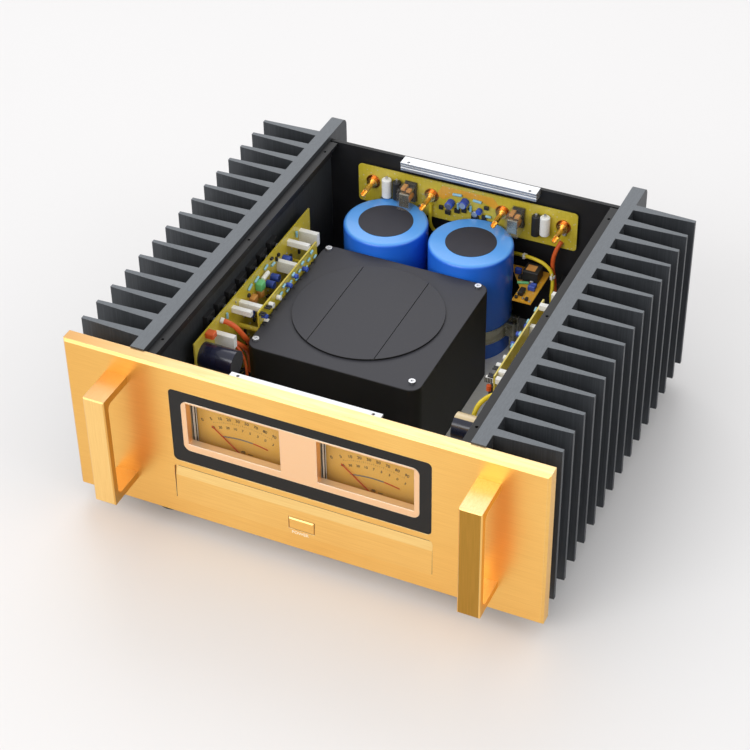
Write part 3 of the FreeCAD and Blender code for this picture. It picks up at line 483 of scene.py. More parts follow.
def sink_finish():
    sink = Finish("Heatsink anodised", (0.050, 0.055, 0.062), metallic=0.45, roughness=0.42)
    drawing = sink.grain((900, 900, 14), 3)
    ends = sink.facing((0, 0, 1), 0.85, 0.97)
    sawn = sink.grain((1400, 260, 260), 4)
    sink.tint(sink.window(drawing, 0.4, 0.75), (0.080, 0.087, 0.097), strength=0.7)
    # Up-facing tops painted a lighter grey with paler streaks: painted highlight; the sawn bump on
    # them is texture.
    sink.tint(ends, (0.125, 0.137, 0.150))
    sink.tint(sink.times(ends, sink.window(sawn, 0.35, 0.7)), (0.19, 0.205, 0.225), strength=0.55)
    sink.roughen(sawn, 0.15)
    sink.raise_by(drawing, 0.000008).raise_by(sink.times(ends, sawn), 0.00001)
    return sink.soft_edges(0.0005, (0.24, 0.25, 0.26), 0.7).done()


def bare_aluminium_finish():
    metal = Finish("Bare aluminium", (0.66, 0.67, 0.69), metallic=0.9, roughness=0.33)
    drawn = metal.grain((12, 2600, 2600), 4)
    blotch = metal.grain((60, 60, 60), 3)
    metal.tint(metal.window(drawn, 0.35, 0.65), (0.78, 0.79, 0.81), strength=0.6)
    metal.tint(metal.window(blotch, 0.5, 0.8), (0.60, 0.61, 0.63), strength=0.35)
    metal.roughen(drawn, 0.18).raise_by(drawn, 0.000006)
    return metal.soft_edges(0.0004, (1.0, 1.0, 1.0), 0.5).done()


def mottled_metal(name, color, patches, scale, roughness, span=(0.4, 0.7), strength=0.5,
                  rougher=0.2, metallic=1.0):
    """Metal with patches of a second tone, which are also a little rougher."""
    metal = Finish(name, color, metallic=metallic, roughness=roughness)
    tone = metal.grain(scale, 4)
    metal.tint(metal.window(tone, *span), patches, strength=strength)
    return metal.roughen(tone, rougher)


def brass_finish():
    metal = Finish("Gold plate", (0.93, 0.60, 0.20), metallic=1.0, roughness=0.20)
    wear = metal.grain((500, 500, 500), 4)
    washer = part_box("protection_board")[0].y
    metal.tint(metal.window(wear, 0.5, 0.75), (0.80, 0.44, 0.14), strength=0.5)
    metal.tint(metal.between("y", washer - 1.3 * MM, washer + 0.1 * MM), (0.66, 0.22, 0.05))
    metal.roughen(wear, 0.18)
    return metal.soft_edges(0.0003, (1.0, 0.85, 0.50), 0.6).done()


gold = gold_finish()
# Painted light and shade: the left bar's front is painted light and its side dark; the right bar's
# front is painted dark and its side a bright orange.
gold_left_painted_shading = gold_finish("Gold bar left", (1.0, 0.66, 0.24), (0.60, 0.36, 0.09), (1500, 400, 26))
gold_right_painted_shading = gold_finish("Gold bar right", (0.42, 0.22, 0.030), (0.90, 0.46, 0.05),
                         (1500, 400, 26))
champagne = champagne_finish()
sink_black = sink_finish()
bare_aluminium = bare_aluminium_finish()
floor_metal = mottled_metal("Floor aluminium", (0.84, 0.85, 0.86), (0.72, 0.73, 0.75),
                            (12, 900, 900), 0.5, (0.35, 0.7), rougher=0.15, metallic=0.25) \
    .soft_edges(0.0004, (1.0, 1.0, 1.0), 0.4).done()
steel = mottled_metal("Zinc steel", (0.62, 0.63, 0.66), (0.80, 0.80, 0.78), (700, 700, 700), 0.28) \
    .soft_edges(0.0003, (0.95, 0.95, 0.95), 0.6).done()
clamp_steel = mottled_metal("Clamp steel", (0.34, 0.32, 0.24), (0.55, 0.53, 0.44), (60, 60, 160), 0.2,
                            (0.35, 0.75), 0.6, 0.15, 0.95) \
    .soft_edges(0.0006, (0.85, 0.85, 0.80), 0.9).done()
brass = brass_finish()
copper = mottled_metal("Copper", (0.80, 0.36, 0.16), (0.93, 0.50, 0.26), (420, 420, 420), 0.30,
                       strength=0.6).done()

# %% [markdown]
# Paint, moulded plastic and rubber are not metallic. They differ in gloss and
# in the fine texture that the light picks out: an orange-peel paint, a smooth
# injection moulding, a glossy shrunk sleeve.

# %% Paint and plastic finishes
def moulded(name, color, lighter, roughness, texture=0.00001, size=1500, **plain):
    """A moulded or painted surface with fine texture and slight clouding."""
    finish = Finish(name, color, roughness=roughness, **plain)
    fine = finish.grain((size, size, size), 3)
    clouds = finish.grain((40, 40, 40), 2)
    finish.tint(finish.window(clouds, 0.35, 0.75), lighter, strength=0.5)
    finish.tint(finish.window(fine, 0.55, 0.8), lighter, strength=0.4)
    finish.roughen(fine, 0.12).raise_by(fine, texture)
    return finish


def black_paint_finish():
    paint = moulded("Black paint", (0.012, 0.012, 0.014), (0.022, 0.022, 0.025), 0.42, 0.00002,
                    Specular_IOR_Level=0.35)
    up = paint.facing((0, 0, 1))
    paint.tint(up, (0.012, 0.012, 0.013), strength=0.8)
    return paint.soft_edges(0.0005, (0.16, 0.165, 0.17), 0.6).done()


def transformer_finish():
    paint = moulded("Transformer paint", (0.006, 0.006, 0.006), (0.010, 0.010, 0.010), 0.5, 0.00003,
                    Specular_IOR_Level=0.4)
    up = paint.facing((0, 0, 1))
    # Up-facing tops painted lighter grey: painted highlight.
    paint.tint(up, (0.041, 0.041, 0.050), strength=0.95)
    return paint.soft_edges(0.0008, (0.12, 0.12, 0.13), 0.5).done()


def can_finish():
    sleeve = Finish("Blue sleeve", (0.028, 0.22, 1.0), roughness=0.28, Coat_Weight=0.25,
                    Coat_Roughness=0.1)
    wrinkles = sleeve.grain((30, 30, 260), 3)
    depth = sleeve.grain((8, 8, 22), 2)
    up = sleeve.facing((0, 0, 1), 0.45, 0.85)
    right = sleeve.facing((1, 0, 0), 0.2, 0.95)
    sleeve.tint(sleeve.window(depth, 0.3, 0.75), (0.012, 0.13, 0.82), strength=0.5)
    # Right-facing sides painted darker: painted shade.
    sleeve.tint(right, (0.010, 0.10, 0.60), strength=0.8)
    # Up-facing top painted paler: painted highlight.
    sleeve.tint(up, (0.105, 0.38, 0.90))
    sleeve.roughen(wrinkles, 0.1).raise_by(wrinkles, 0.00004)
    return sleeve.done()


def dark_sleeve_finish():
    """A dark sleeve with a pale stripe on one can, and grey rubber at the ends."""
    sleeve = Finish("Dark sleeve", (0.008, 0.010, 0.032), roughness=0.2, Coat_Weight=0.4)
    wrinkles = sleeve.grain((260, 60, 60), 3)
    end = sleeve.facing((1, 0, 0), 0.8, 0.95)
    stripe = sleeve.times(sleeve.facing((0, 0.2, 0.98), 0.86, 0.88), sleeve.between("x", 0, 1))
    sleeve.tint(sleeve.window(wrinkles, 0.4, 0.8), (0.016, 0.019, 0.055), strength=0.6)
    sleeve.tint(end, (0.08, 0.08, 0.085))
    sleeve.tint(stripe, (0.78, 0.62, 0.36))
    sleeve.roughen(wrinkles, 0.1).raise_by(wrinkles, 0.00002)
    return sleeve.done()


def cement_finish():
    cement = Finish("Cement", (0.92, 0.92, 0.89), roughness=0.72)
    pores = cement.grain((900, 900, 900), 5)
    stain = cement.grain((90, 90, 90), 3)
    cement.tint(cement.window(pores, 0.55, 0.75), (0.55, 0.55, 0.53), strength=0.5)
    cement.tint(cement.window(stain, 0.5, 0.85), (0.80, 0.78, 0.73), strength=0.5)
    cement.raise_by(pores, 0.00006)
    return cement.soft_edges(0.0005, (0.95, 0.95, 0.93), 0.4).done()


def insulation_finish(name, color, lighter):
    """Soft extruded insulation, slightly uneven in colour."""
    skin = Finish(name, color, roughness=0.38)
    tone = skin.grain((120, 120, 120), 3)
    fine = skin.grain((1600, 1600, 1600), 2)
    skin.tint(skin.window(tone, 0.35, 0.75), lighter, strength=0.6)
    skin.roughen(fine, 0.15).raise_by(fine, 0.00001)
    return skin.done()


def silver_plastic_finish():
    silver = Finish("Silvered plastic", (0.55, 0.56, 0.58), metallic=0.85, roughness=0.24)
    streaks = silver.grain((900, 900, 30), 3)
    silver.tint(silver.window(streaks, 0.3, 0.8), (0.28, 0.29, 0.31), strength=0.6)
    silver.roughen(streaks, 0.2)
    return silver.done()


def glass_finish():
    glass = Finish("Clear pane", (0.10, 0.10, 0.10), roughness=0.03, Alpha=0.05)
    smears = glass.grain((25, 25, 60), 4)
    glass.roughen(smears, 0.06)
    return glass.done()


black_paint = black_paint_finish()
transformer_paint = transformer_finish()
window_black = moulded("Window black", (0.006, 0.005, 0.004), (0.010, 0.009, 0.008), 0.14,
                       0.000002, Specular_IOR_Level=0.3) \
    .soft_edges(0.0004, (0.05, 0.045, 0.04), 0.6).done()
black_plastic = moulded("Black plastic", (0.018, 0.018, 0.019), (0.034, 0.034, 0.036), 0.45) \
    .soft_edges(0.0004, (0.07, 0.07, 0.07), 0.5).done()
rubber = moulded("Rubber", (0.012, 0.012, 0.012), (0.025, 0.025, 0.025), 0.75, 0.00003, 900).done()
blue_sleeve = can_finish()
dark_sleeve = dark_sleeve_finish()
cement = cement_finish()
clear_case = moulded("Clear case", (0.40, 0.37, 0.34), (0.50, 0.47, 0.44), 0.08, 0.000002,
                     Alpha=0.13).done()
disc_black = moulded("Disc", (0.030, 0.030, 0.042), (0.042, 0.042, 0.056), 0.6).done()
yellow_skin = insulation_finish("Yellow insulation", (0.82, 0.62, 0.02), (0.95, 0.78, 0.08))
orange_skin = insulation_finish("Orange insulation", (0.70, 0.10, 0.015), (0.86, 0.20, 0.05))
white_nylon = insulation_finish("White nylon", (0.78, 0.78, 0.74), (0.90, 0.90, 0.88))
part_blue = insulation_finish("Blue part", (0.030, 0.075, 0.42), (0.06, 0.13, 0.60))
part_pale = insulation_finish("Pale blue part", (0.25, 0.52, 0.66), (0.42, 0.68, 0.80))
part_green = insulation_finish("Green part", (0.13, 0.55, 0.20), (0.26, 0.70, 0.34))
part_red = insulation_finish("Red part", (0.72, 0.11, 0.02), (0.85, 0.20, 0.06))
part_orange = insulation_finish("Orange part", (0.70, 0.30, 0.07), (0.85, 0.46, 0.16))
silver_plastic = silver_plastic_finish()
pane = glass_finish()

# %% [markdown]
# Circuit boards are glass cloth in resin under a lacquer. Tracks show through
# as slightly raised, lighter strips, which a brick pattern gives,
# and solder joints as small bright dots.

# %% Board finishes
def board_finish(name, color, track, edge):
    """Lacquered board with tracks and solder dots."""
    board = Finish(name, color, roughness=0.34, Coat_Weight=0.3)
    place = board.node("TexCoord")
    bricks = board.node("TexBrick")
    bricks.inputs["Scale"].default_value = 55
    bricks.inputs["Mortar Size"].default_value = 0.03
    bricks.inputs["Color1"].default_value = (1, 1, 1, 1)
    bricks.inputs["Color2"].default_value = (0.4, 0.4, 0.4, 1)
    bricks.inputs["Mortar"].default_value = (0, 0, 0, 1)
    upright = board.node("Mapping")
    upright.inputs["Rotation"].default_value = (math.radians(90), 0, math.radians(90))
    board.link(place.outputs["Object"], upright.inputs["Vector"])
    board.link(upright.outputs["Vector"], bricks.inputs["Vector"])
    pads = board.node("TexVoronoi")
    pads.inputs["Scale"].default_value = 190
    board.link(place.outputs["Object"], pads.inputs["Vector"])
    dots = board.window(pads.outputs["Distance"], 0.20, 0.12)
    tone = board.grain((25, 25, 25), 3)
    tracks = board.window(bricks.outputs["Color"], 0.2, 0.9)
    board.tint(tracks, track, strength=0.35)
    board.tint(board.window(tone, 0.3, 0.8), edge, strength=0.4)
    board.tint(dots, (0.70, 0.66, 0.50), strength=0.55)
    board.raise_by(tracks, 0.00003).raise_by(dots, 0.00012)
    return board.soft_edges(0.0003, edge, 0.6).done()


yellow_board = board_finish("Yellow board", (0.62, 0.49, 0.018), (0.74, 0.60, 0.06),
                            (0.80, 0.66, 0.20))
brown_board = board_finish("Orange board", (0.80, 0.36, 0.008), (0.92, 0.46, 0.02),
                           (0.95, 0.62, 0.14))


def dial_finish():
    """Amber card, faintly clouded and fibrous."""
    dial = Finish("Amber card", (0.80, 0.43, 0.07), roughness=0.5)
    cloud = dial.grain((28, 28, 28), 3)
    fibre = dial.grain((900, 900, 900), 3)
    dial.tint(dial.window(cloud, 0.3, 0.8), (0.90, 0.54, 0.13), strength=0.6)
    dial.tint(dial.window(fibre, 0.5, 0.8), (0.66, 0.36, 0.06), strength=0.2)
    dial.raise_by(fibre, 0.00001)
    return dial.done()


amber = dial_finish()
needle_red = insulation_finish("Red lacquer", (0.60, 0.03, 0.01), (0.80, 0.07, 0.02))
print_black = insulation_finish("Dial ink", (0.012, 0.010, 0.008), (0.03, 0.025, 0.02))
print_grey = insulation_finish("Grey ink", (0.20, 0.17, 0.14), (0.27, 0.24, 0.20))
shadow_brown = insulation_finish("Seam shadow", (0.10, 0.045, 0.012), (0.16, 0.08, 0.02))
print_red = insulation_finish("Red ink", (0.55, 0.05, 0.01), (0.70, 0.09, 0.03))
label_cream = insulation_finish("Cream ink", (1.0, 0.88, 0.66), (1.0, 0.93, 0.76))

# %% [markdown]
# The CAD parts already have the right shape, so they only take a finish.
# A table from part to finish is easy to read and to change.

# %% Finishes for the CAD parts
FINISHES = {
    gold: ("front_panel", "power_button"),
    gold_left_painted_shading: ("handle_left",),
    gold_right_painted_shading: ("handle_right",),
    champagne: ("meter_bezel",),
    window_black: ("window_frame",),
    silver_plastic: ("meter_case_left", "meter_case_right"),
    amber: ("dial_left", "dial_right"),
    needle_red: ("needle_left", "needle_right"),
    pane: ("meter_glasses", "mains_fuse"),
    sink_black: ("heatsink_left", "heatsink_right"),
    black_paint: ("rear_panel", "side_rail_left", "side_rail_right", "soft_start_bracket"),
    bare_aluminium: ("lid_bar_front", "lid_bar_rear"),
    floor_metal: ("bottom_plate",),
    clamp_steel: ("capacitor_clamps",),
    steel: ("foot_screws", "chassis_screws", "handle_screws", "transformer_screws",
            "board_standoffs"),
    transformer_paint: ("transformer_case", "transformer_cover"),
    copper: ("transformer_core",),
    black_plastic: ("meter_movements", "power_switch", "mains_inlet", "fuse_drawer",
                    "power_transistors", "rectifiers"),
    disc_black: ("capacitor_discs",),
    clear_case: ("relays",),
    rubber: ("feet",),
    blue_sleeve: ("capacitor_left", "capacitor_right"),
    dark_sleeve: ("board_capacitors",),
    cement: ("cement_resistors",),
    yellow_board: ("amp_board_left", "amp_board_right", "driver_boards", "protection_board"),
    brown_board: ("soft_start_board",),
    brass: ("speaker_posts", "post_cap_1", "post_cap_2", "post_cap_3", "post_cap_4",
            "input_jacks"),
    yellow_skin: ("yellow_wires",),
    orange_skin: ("orange_wires",),
}
for finish, names in FINISHES.items():
    for name in names:
        for material_slot in nodes[name].material_slots:
            material_slot.material = finish
finished = {name for names in FINISHES.values() for name in names}
print("without a finish:", sorted(set(nodes) - finished))

# %% [markdown]
# The dials are printed: a fan of numbers, a grey band that turns red at its
# end, and a unit below. Flat text is made into a mesh first and then stood up
# against the card.
# Thin dark rods laid in the corners of the milled relief stand for the shadow in the seam of its
# door: painted shadow.

# %% Print on the dials and the painted shadow of the door's seam
def lettering(text, size, place, lean=0.0):
    """Raised print that faces the front, centred on a place of the chassis."""
    take()
    bpy.ops.object.text_add()
    piece = bpy.context.object
    piece.data.body = text
    piece.data.size = size * MM
    piece.data.extrude = LIFT * MM
    piece.data.offset = LIFT * MM
    piece.data.resolution_u = 3
    piece.data.align_x = "CENTER"
    piece.data.align_y = "CENTER"
    bpy.ops.object.convert(target="MESH")
    piece = bpy.context.object
    piece.rotation_euler = (math.radians(90), lean, 0)
    piece.location = at(*place)
    return settle(piece)


def printed(left, low, right, high):
    """A flat printed bar on a dial."""
    return slab((left, INK - LIFT, low), (right, INK + LIFT, high), 0.04)


SCALE_NUMBERS = ("0", "5", "10", "20", "30", "50", "70", "80", "90", "100")
SCALE_UNITS = ("40", "30", "20", "10", "7", "5", "3", "0", "3")
FAN_RADIUS = 93
TICK_RADIUS = 88
BAND_RADIUS = 95
METER_X = 66.25
INK = 18.9      # how far back the ink lies
LAP = 0.05      # how far one bar of a band runs over the next
for side, sign in SIDES:
    centre = METER_X * sign
    black = []
    for row, (numbers, height, size) in enumerate(((SCALE_NUMBERS, 120.5, 4.6),
                                                  (SCALE_UNITS, 110.5, 3.9))):
        radius = FAN_RADIUS - 10 * row
        reach = (42, 31)[row]
        for index, number in enumerate(numbers):
            share = 2 * index / (len(numbers) - 1) - 1
            lean = math.asin(reach * share / radius)
            place = (centre + radius * math.sin(lean), INK,
                     height - radius * (1 - math.cos(lean)))
            black.append(lettering(number, size, place, lean))
    for index in range(31):
        lean = math.asin(0.34 * (2 * index / 30 - 1))
        x = centre + TICK_RADIUS * math.sin(lean)
        z = 115.6 - TICK_RADIUS * (1 - math.cos(lean))
        tall = 1.7 if index % 5 == 0 else 0.9
        black.append(printed(x - 0.16, z, x + 0.16, z + tall))
    black.append(lettering("dB", 4.6, (centre - 1, INK, 84.5)))
    black.append(printed(centre + 4, 83.4, centre + 9, 84.2))
    mount(black, f"dial_print_{side}", print_black)
    for name, low, high, ink in (("grey", -23.5, 9.8, print_grey), ("red", 10.2, 25.4, print_red)):
        band = []
        steps = 8
        for step in range(steps):
            x_1 = low + (high - low) * step / steps
            x_2 = low + (high - low) * (step + 1) / steps
            sag = ((x_1 + x_2) / 2) ** 2 / (2 * BAND_RADIUS)
            band.append(printed(centre + x_1 - LAP, 98.4 - sag, centre + x_2 + LAP, 100.0 - sag))
        mount(band, f"dial_band_{name}_{side}", ink)
    strip = [slab((centre - 47.7, 11.3, 79), (centre - 47.0, 14.4, 137), 0.2),
             slab((centre - 47.0, 16.2, 79), (centre - 46.4, 17.0, 137), 0.2)]
    mount(strip, f"meter_light_strip_{side}", white_nylon)
    dark = [slab((centre - 47.7, 10.6, 79), (centre - 47.1, 11.2, 137), 0.1),
            slab((centre - 47.7, 14.5, 79), (centre - 47.1, 16.1, 137), 0.1)]
    mount(dark, f"meter_dark_strip_{side}", black_plastic)
    mount(slab((centre - 47.5, 10.8, 77.2), (centre + 47.5, 18.6, 78.6), 0.2),
          f"meter_sill_{side}", label_cream)
mount(lettering("POWER", 5.0, (-1.5, 0.0, 21.7)), "power_label", label_cream)
# Dark rods along the door's edges: painted shadow.
seam = [rod((-129, 3.35, 62.9), (129, 3.35, 62.9), 0.42, 8),
        rod((-129, 2.92, 59.8), (129, 2.92, 59.8), 0.25, 8)]
for x in (-131.8, 131.8):
    seam += [rod((x, 0.3, 22), (x, 1.2, 49.5), 0.42, 8),
             rod((x, 1.2, 49.5), (x, 2.9, 59.5), 0.42, 8)]
mount(seam, "door_seam_shadow", shadow_brown)
print("dial pieces made")

# %% [markdown]
# Electrolytics and the heads of screws are turned once at the origin, standing
# up, and then copied to their places.

# %% Models of small parts
def electrolytic(radius, height):
    """A small can with the groove that crimps it near its foot."""
    r, h = radius * MM, height * MM
    return turned([(r * 0.94, 0), (r, h * 0.05), (r, h * 0.10), (r * 0.93, h * 0.13),
                   (r, h * 0.17), (r, h * 0.95), (r * 0.93, h), (r * 0.80, h),
                   (r * 0.78, h * 0.985)], 20)


def cap_screw(radius, height):
    """The head of a socket screw, with the recess for its key."""
    r, h = radius * MM, height * MM
    return turned([(r, 0), (r, h * 0.75), (r * 0.86, h), (r * 0.5, h), (r * 0.46, h * 0.45)], 18)


# %% [markdown]
# The board at the back joins the speaker terminals. Between the terminals lie
# a broad copper area, two relays in clear cases, tall film capacitors, and the
# small parts of the protection circuit.

# %% Parts of the protection board
FACE = 407.4    # how far back the board's front face lies
outline_points = [(-38, 141), (-31, 153.6), (26, 153.2), (36, 140), (26, 140.6), (12, 145.5),
                  (-16, 146.5), (-30, 137)]
take()
bpy.ops.mesh.primitive_circle_add(vertices=len(outline_points), radius=1, fill_type="NGON")
area = bpy.context.object
for vertex, (x, z) in zip(area.data.vertices, outline_points):
    vertex.co = at(x, FACE - LIFT, z)
bpy.ops.object.mode_set(mode="EDIT")
bpy.ops.mesh.select_all(action="SELECT")
bpy.ops.mesh.extrude_region_move(TRANSFORM_OT_translate={"value": (0, -0.2 * MM, 0)})
bpy.ops.mesh.select_all(action="SELECT")
bpy.ops.mesh.normals_make_consistent(inside=False)
bpy.ops.object.mode_set(mode="OBJECT")
mount(settle(area), "copper_area", brown_board)

film = [rod((x, 401.6, 127.5), (x, 401.6, 149.5), 5.2, 24) for x in (-92, 85)]
mount(film, "film_capacitors", cement)
leads = [rod((x, 401.6, z), (x, 401.6, z + 3.5), 1.4, 10)
         for x, z in ((-92, 149.3), (85, 149.3), (-80.5, 148.8), (75.0, 147.8))]
leads += [rod((x, 401.6, 150.6), (x, 407.2, 148.0), 0.5, 8) for x in (-92, 85, -80.5, 75.0)]
mount(leads, "film_capacitor_leads", steel)
dark = [rod((-80.5, 402.0, 127.5), (-80.5, 402.0, 149), 4.6, 24),
        rod((75.0, 402.0, 124), (75.0, 402.0, 148), 4.6, 24)]
mount(dark, "power_resistors", black_plastic)

for name, x in (("left", -66), ("right", 54.7)):
    mount(slab((x - 6.3, 403.2, 127.4), (x + 6.3, 407.1, 150.0), 0.4), f"relay_base_{name}",
          black_plastic)
    mount(rod((x, 389, 137.2), (x, 402.6, 137.2), 5.2, 20), f"relay_coil_{name}", copper)
    mount([rod((x, 387.4, 137.2), (x, 389, 137.2), 5.2, 20),
           slab((x - 5.4, 388, 144.2), (x + 5.4, 403, 145.6), 0.2),
           slab((x - 5.4, 386.6, 130), (x + 5.4, 387.6, 145.6), 0.2)],
          f"relay_yoke_{name}", clamp_steel)
    mount([slab((x - 5.8, 392, 146.6), (x - 1.2, 402, 149.2), 0.3),
           slab((x + 1.0, 390, 146.6), (x + 5.8, 396, 149.2), 0.3)],
          f"relay_contacts_{name}", part_orange)

blue = [rod((-20.5, 397.5, 136.5), (-20.5, 406.9, 136.5), 4.3, 20),
        rod((-4.8, 397.5, 141.5), (-4.8, 406.9, 141.5), 4.3, 20),
        rod((11.5, 402, 134.5), (11.5, 406.9, 134.5), 3.3, 16)]
mount(blue, "protection_electrolytics", part_blue)
tops = [rod((-20.5, 397.2, 136.5), (-20.5, 397.6, 136.5), 3.4, 16),
        rod((-4.8, 397.2, 141.5), (-4.8, 397.6, 141.5), 3.4, 16),
        rod((6.3, 403.8, 129.5), (6.3, 406.9, 129.5), 3.6, 16)]
mount(tops, "protection_can_tops", silver_plastic)
pale = [rod((x_1, 405.6, z_1), (x_2, 405.6, z_2), radius, 10)
        for x_1, z_1, x_2, z_2, radius in (
            (-18.5, 147.5, -8.5, 148.2, 1.5), (4.2, 146.0, 13.5, 145.2, 1.5),
            (-12.5, 131.0, -12.5, 138.0, 1.4), (1.5, 131.0, 1.5, 138.0, 1.4),
            (18.5, 130.0, 24.5, 130.0, 1.4))]
mount(pale, "protection_resistors", part_pale)
chips = [slab((x, 404.4, z), (x + wide, 407.0, z + tall), 0.3)
         for x, z, wide, tall in ((-16.5, 125.5, 6, 5), (-8.5, 128, 5, 6), (2.5, 121.5, 8, 5.5),
                                  (14.0, 124, 5, 6), (-27, 121, 6, 5), (-1.5, 132.6, 2.5, 3),
                                  (16.5, 138, 5, 4), (-34, 125.5, 4.5, 4.5))]
mount(chips, "protection_transistors", black_plastic)
heads = spread(cap_screw(2.6, 1.8), [at(x, FACE - LIFT, z) for x, z in
                                     ((-98.6, 121.0), (-55.6, 121.5), (104.8, 131.0), (30.5, 119))],
               TOWARD_FRONT)
mount(heads, "terminal_solder_screws", steel)
print("protection board parts made")

# %% [markdown]
# The soft-start board lies flat beside the right can: one relay, three film
# capacitors and a few small parts.

# %% Parts of the soft-start board
DECK = 81.7     # the height at which the parts of this board begin
mount(slab((71.5, 377, DECK), (88.5, 394, DECK + 13), 0.6), "soft_start_relay", black_plastic)
mount(slab((74, 380, DECK + 13.02), (84, 390, DECK + 13.3), 0.1), "soft_start_relay_label",
      part_orange)
mount([slab((60.0, 385.5, DECK), (67.0, 390, DECK + 7), 0.8),
       slab((82.5, 363.5, DECK), (90.5, 367.5, DECK + 6), 0.8),
       slab((83.0, 369.5, DECK), (90.0, 373.0, DECK + 5), 0.8)],
      "soft_start_film_capacitors", part_blue)
mount([rod((68.5, 371, DECK + 1.4), (80, 374.5, DECK + 1.4), 1.5, 10),
       rod((76.5, 363.8, DECK + 1.4), (81.5, 358.5, DECK + 1.4), 1.3, 10)],
      "soft_start_resistors", part_green)
mount([slab((76.5, 351.5, DECK), (81.8, 361.5, DECK + 5), 0.4),
       slab((75.0, 346.0, DECK), (78.2, 348.5, DECK + 3), 0.3),
       slab((86.2, 345.8, DECK), (89.2, 349.8, DECK + 3), 0.3),
       slab((66.5, 378.0, DECK), (70.6, 383.5, DECK + 4), 0.4)],
      "soft_start_transistors", black_plastic)
mount([rod((86.0, 376.0, DECK), (86.0, 376.0, DECK + 1), 1.6, 12),
       slab((80.8, 374.6, DECK), (84.6, 376.6, DECK + 4), 0.3),
       rod((75.8, 354.0, DECK), (75.8, 354.0, DECK + 3), 0.9, 10),
       rod((83.6, 348.0, DECK), (83.6, 348.0, DECK + 2), 1.2, 10),
       rod((91.4, 346.2, DECK), (91.4, 346.2, DECK + 1), 1.5, 12)],
      "soft_start_terminals", silver_plastic)

# %% [markdown]
# The amplifier boards stand along the heatsinks. The parts that show are
# listed by their place along the board and their height; the smallest ones
# repeat the same few models in a steady, seeded scatter.

# %% Parts of the amplifier boards
scatter = random.Random(7)
TRIES = 420
MOST_PARTS = 130


def clear_of(y, z, taken, room=3.2):
    """True where a small part would not touch one already placed."""
    return all(abs(y - a) > wide + room or abs(z - b) > tall + room
               for a, b, wide, tall in taken)


TAKEN = [(124.3, 120, 3.1, 6.6), (160, 129.5, 2.8, 3), (175.6, 126, 2.8, 3),
         (257.8, 118, 2.8, 6.5), (282.5, 130, 2.8, 3), (309.5, 121.5, 3, 7.3),
         (98, 117.5, 13, 13), (135, 132.5, 3, 3), (133, 114, 3, 3), (152, 122, 3, 3),
         (171, 102, 3, 3), (290, 102, 3, 3), (353, 45, 3, 3), (359, 60, 3, 3), (129, 112, 2, 2)]
for side, sign in SIDES:
    face = 149 * sign
    inward = -sign

    def bit(y, z, wide, tall, thick, edge=0.3):
        """A small box standing on the board's inner face."""
        ends = sorted((face + inward * GAP, face + inward * thick))
        return slab((ends[0], y - wide / 2, z - tall / 2), (ends[1], y + wide / 2, z + tall / 2),
                    edge)

    def lying(y_1, z_1, y_2, z_2, radius):
        """A resistor that lies along the board."""
        x = face + inward * (radius + 0.4)
        return rod((x, y_1, z_1), (x, y_2, z_2), radius, 10)

    mount(bit(212, 123.8, 9.5, 9.0, 7.5, 0.8), f"film_box_green_{side}", part_green)
    mount(bit(107.5, 136.3, 8.6, 6.6, 9.0, 0.8), f"film_box_red_{side}", part_red)
    mount([bit(198.0, 115.5, 10, 8, 6.0, 0.7), bit(213, 112.5, 6, 7, 6.0, 0.6)],
          f"film_box_orange_{side}", part_orange)
    mount(rod((face + inward * 4, 217, 128), (face + inward * 4, 229.5, 128.6), 2.4, 12),
          f"ceramic_resistor_{side}", cement)
    pale = [lying(191, 131, 198.5, 134, 1.3), lying(205, 131.5, 213, 133.5, 1.3),
            lying(226, 133.0, 233, 134.5, 1.3), lying(241, 128, 248, 127.5, 1.4),
            lying(112, 128.0, 118, 129.0, 1.3), lying(299, 126, 299, 133, 1.3),
            lying(146, 128, 146, 134.5, 1.2)]
    mount(pale, f"amp_resistors_{side}", part_pale)
    small = []
    shiny = []
    placed = list(TAKEN) + [(212, 123.8, 5, 5), (107.5, 136.3, 5, 4), (198, 115.5, 5, 4),
                            (223, 128, 7, 3), (195, 132.5, 5, 3), (209, 132.5, 5, 2)]
    for _ in range(TRIES):
        y = scatter.uniform(88, 328)
        z = scatter.uniform(44, 136)
        if not clear_of(y, z, placed):
            continue
        wide, tall = scatter.choice(((3.2, 3.6), (4.4, 2.4), (2.2, 5.0)))
        if scatter.random() < 0.45:
            small.append(bit(y, z, wide, tall, 2.6))
        else:
            shiny.append(bit(y, z, wide * 0.5, tall * 0.5, 1.2))
        placed.append((y, z, wide / 2, tall / 2))
        if len(placed) > MOST_PARTS:
            break
    mount(small, f"amp_transistors_{side}", black_plastic)
    mount(shiny, f"amp_solder_{side}", steel)
    cap = electrolytic(4.0, 9)
    cap.rotation_euler = (0, math.radians(-90 * sign), 0)
    settle(cap)
    cans = spread(cap, [at(face + inward * 0.05, y, z) for y, z in
                        ((232, 112), (243, 113), (270, 118), (185, 108))])
    mount(cans, f"amp_electrolytics_{side}", part_blue)
    print(side, "amplifier board:", len(placed), "parts")

ferrules = [rod((-149, 134.8, 133.6), (-145.4, 135.5, 132.6), 2.9, 14),
            rod((-149, 132.8, 115.6), (-144.2, 133.3, 114.2), 2.9, 14),
            rod((-149, 128.8, 111.6), (-145.0, 129.1, 111.5), 1.7, 12)]
mount(ferrules, "wire_ferrules", white_nylon)

# %% [markdown]
# The driver boards carry their parts on the side that faces the transformer.

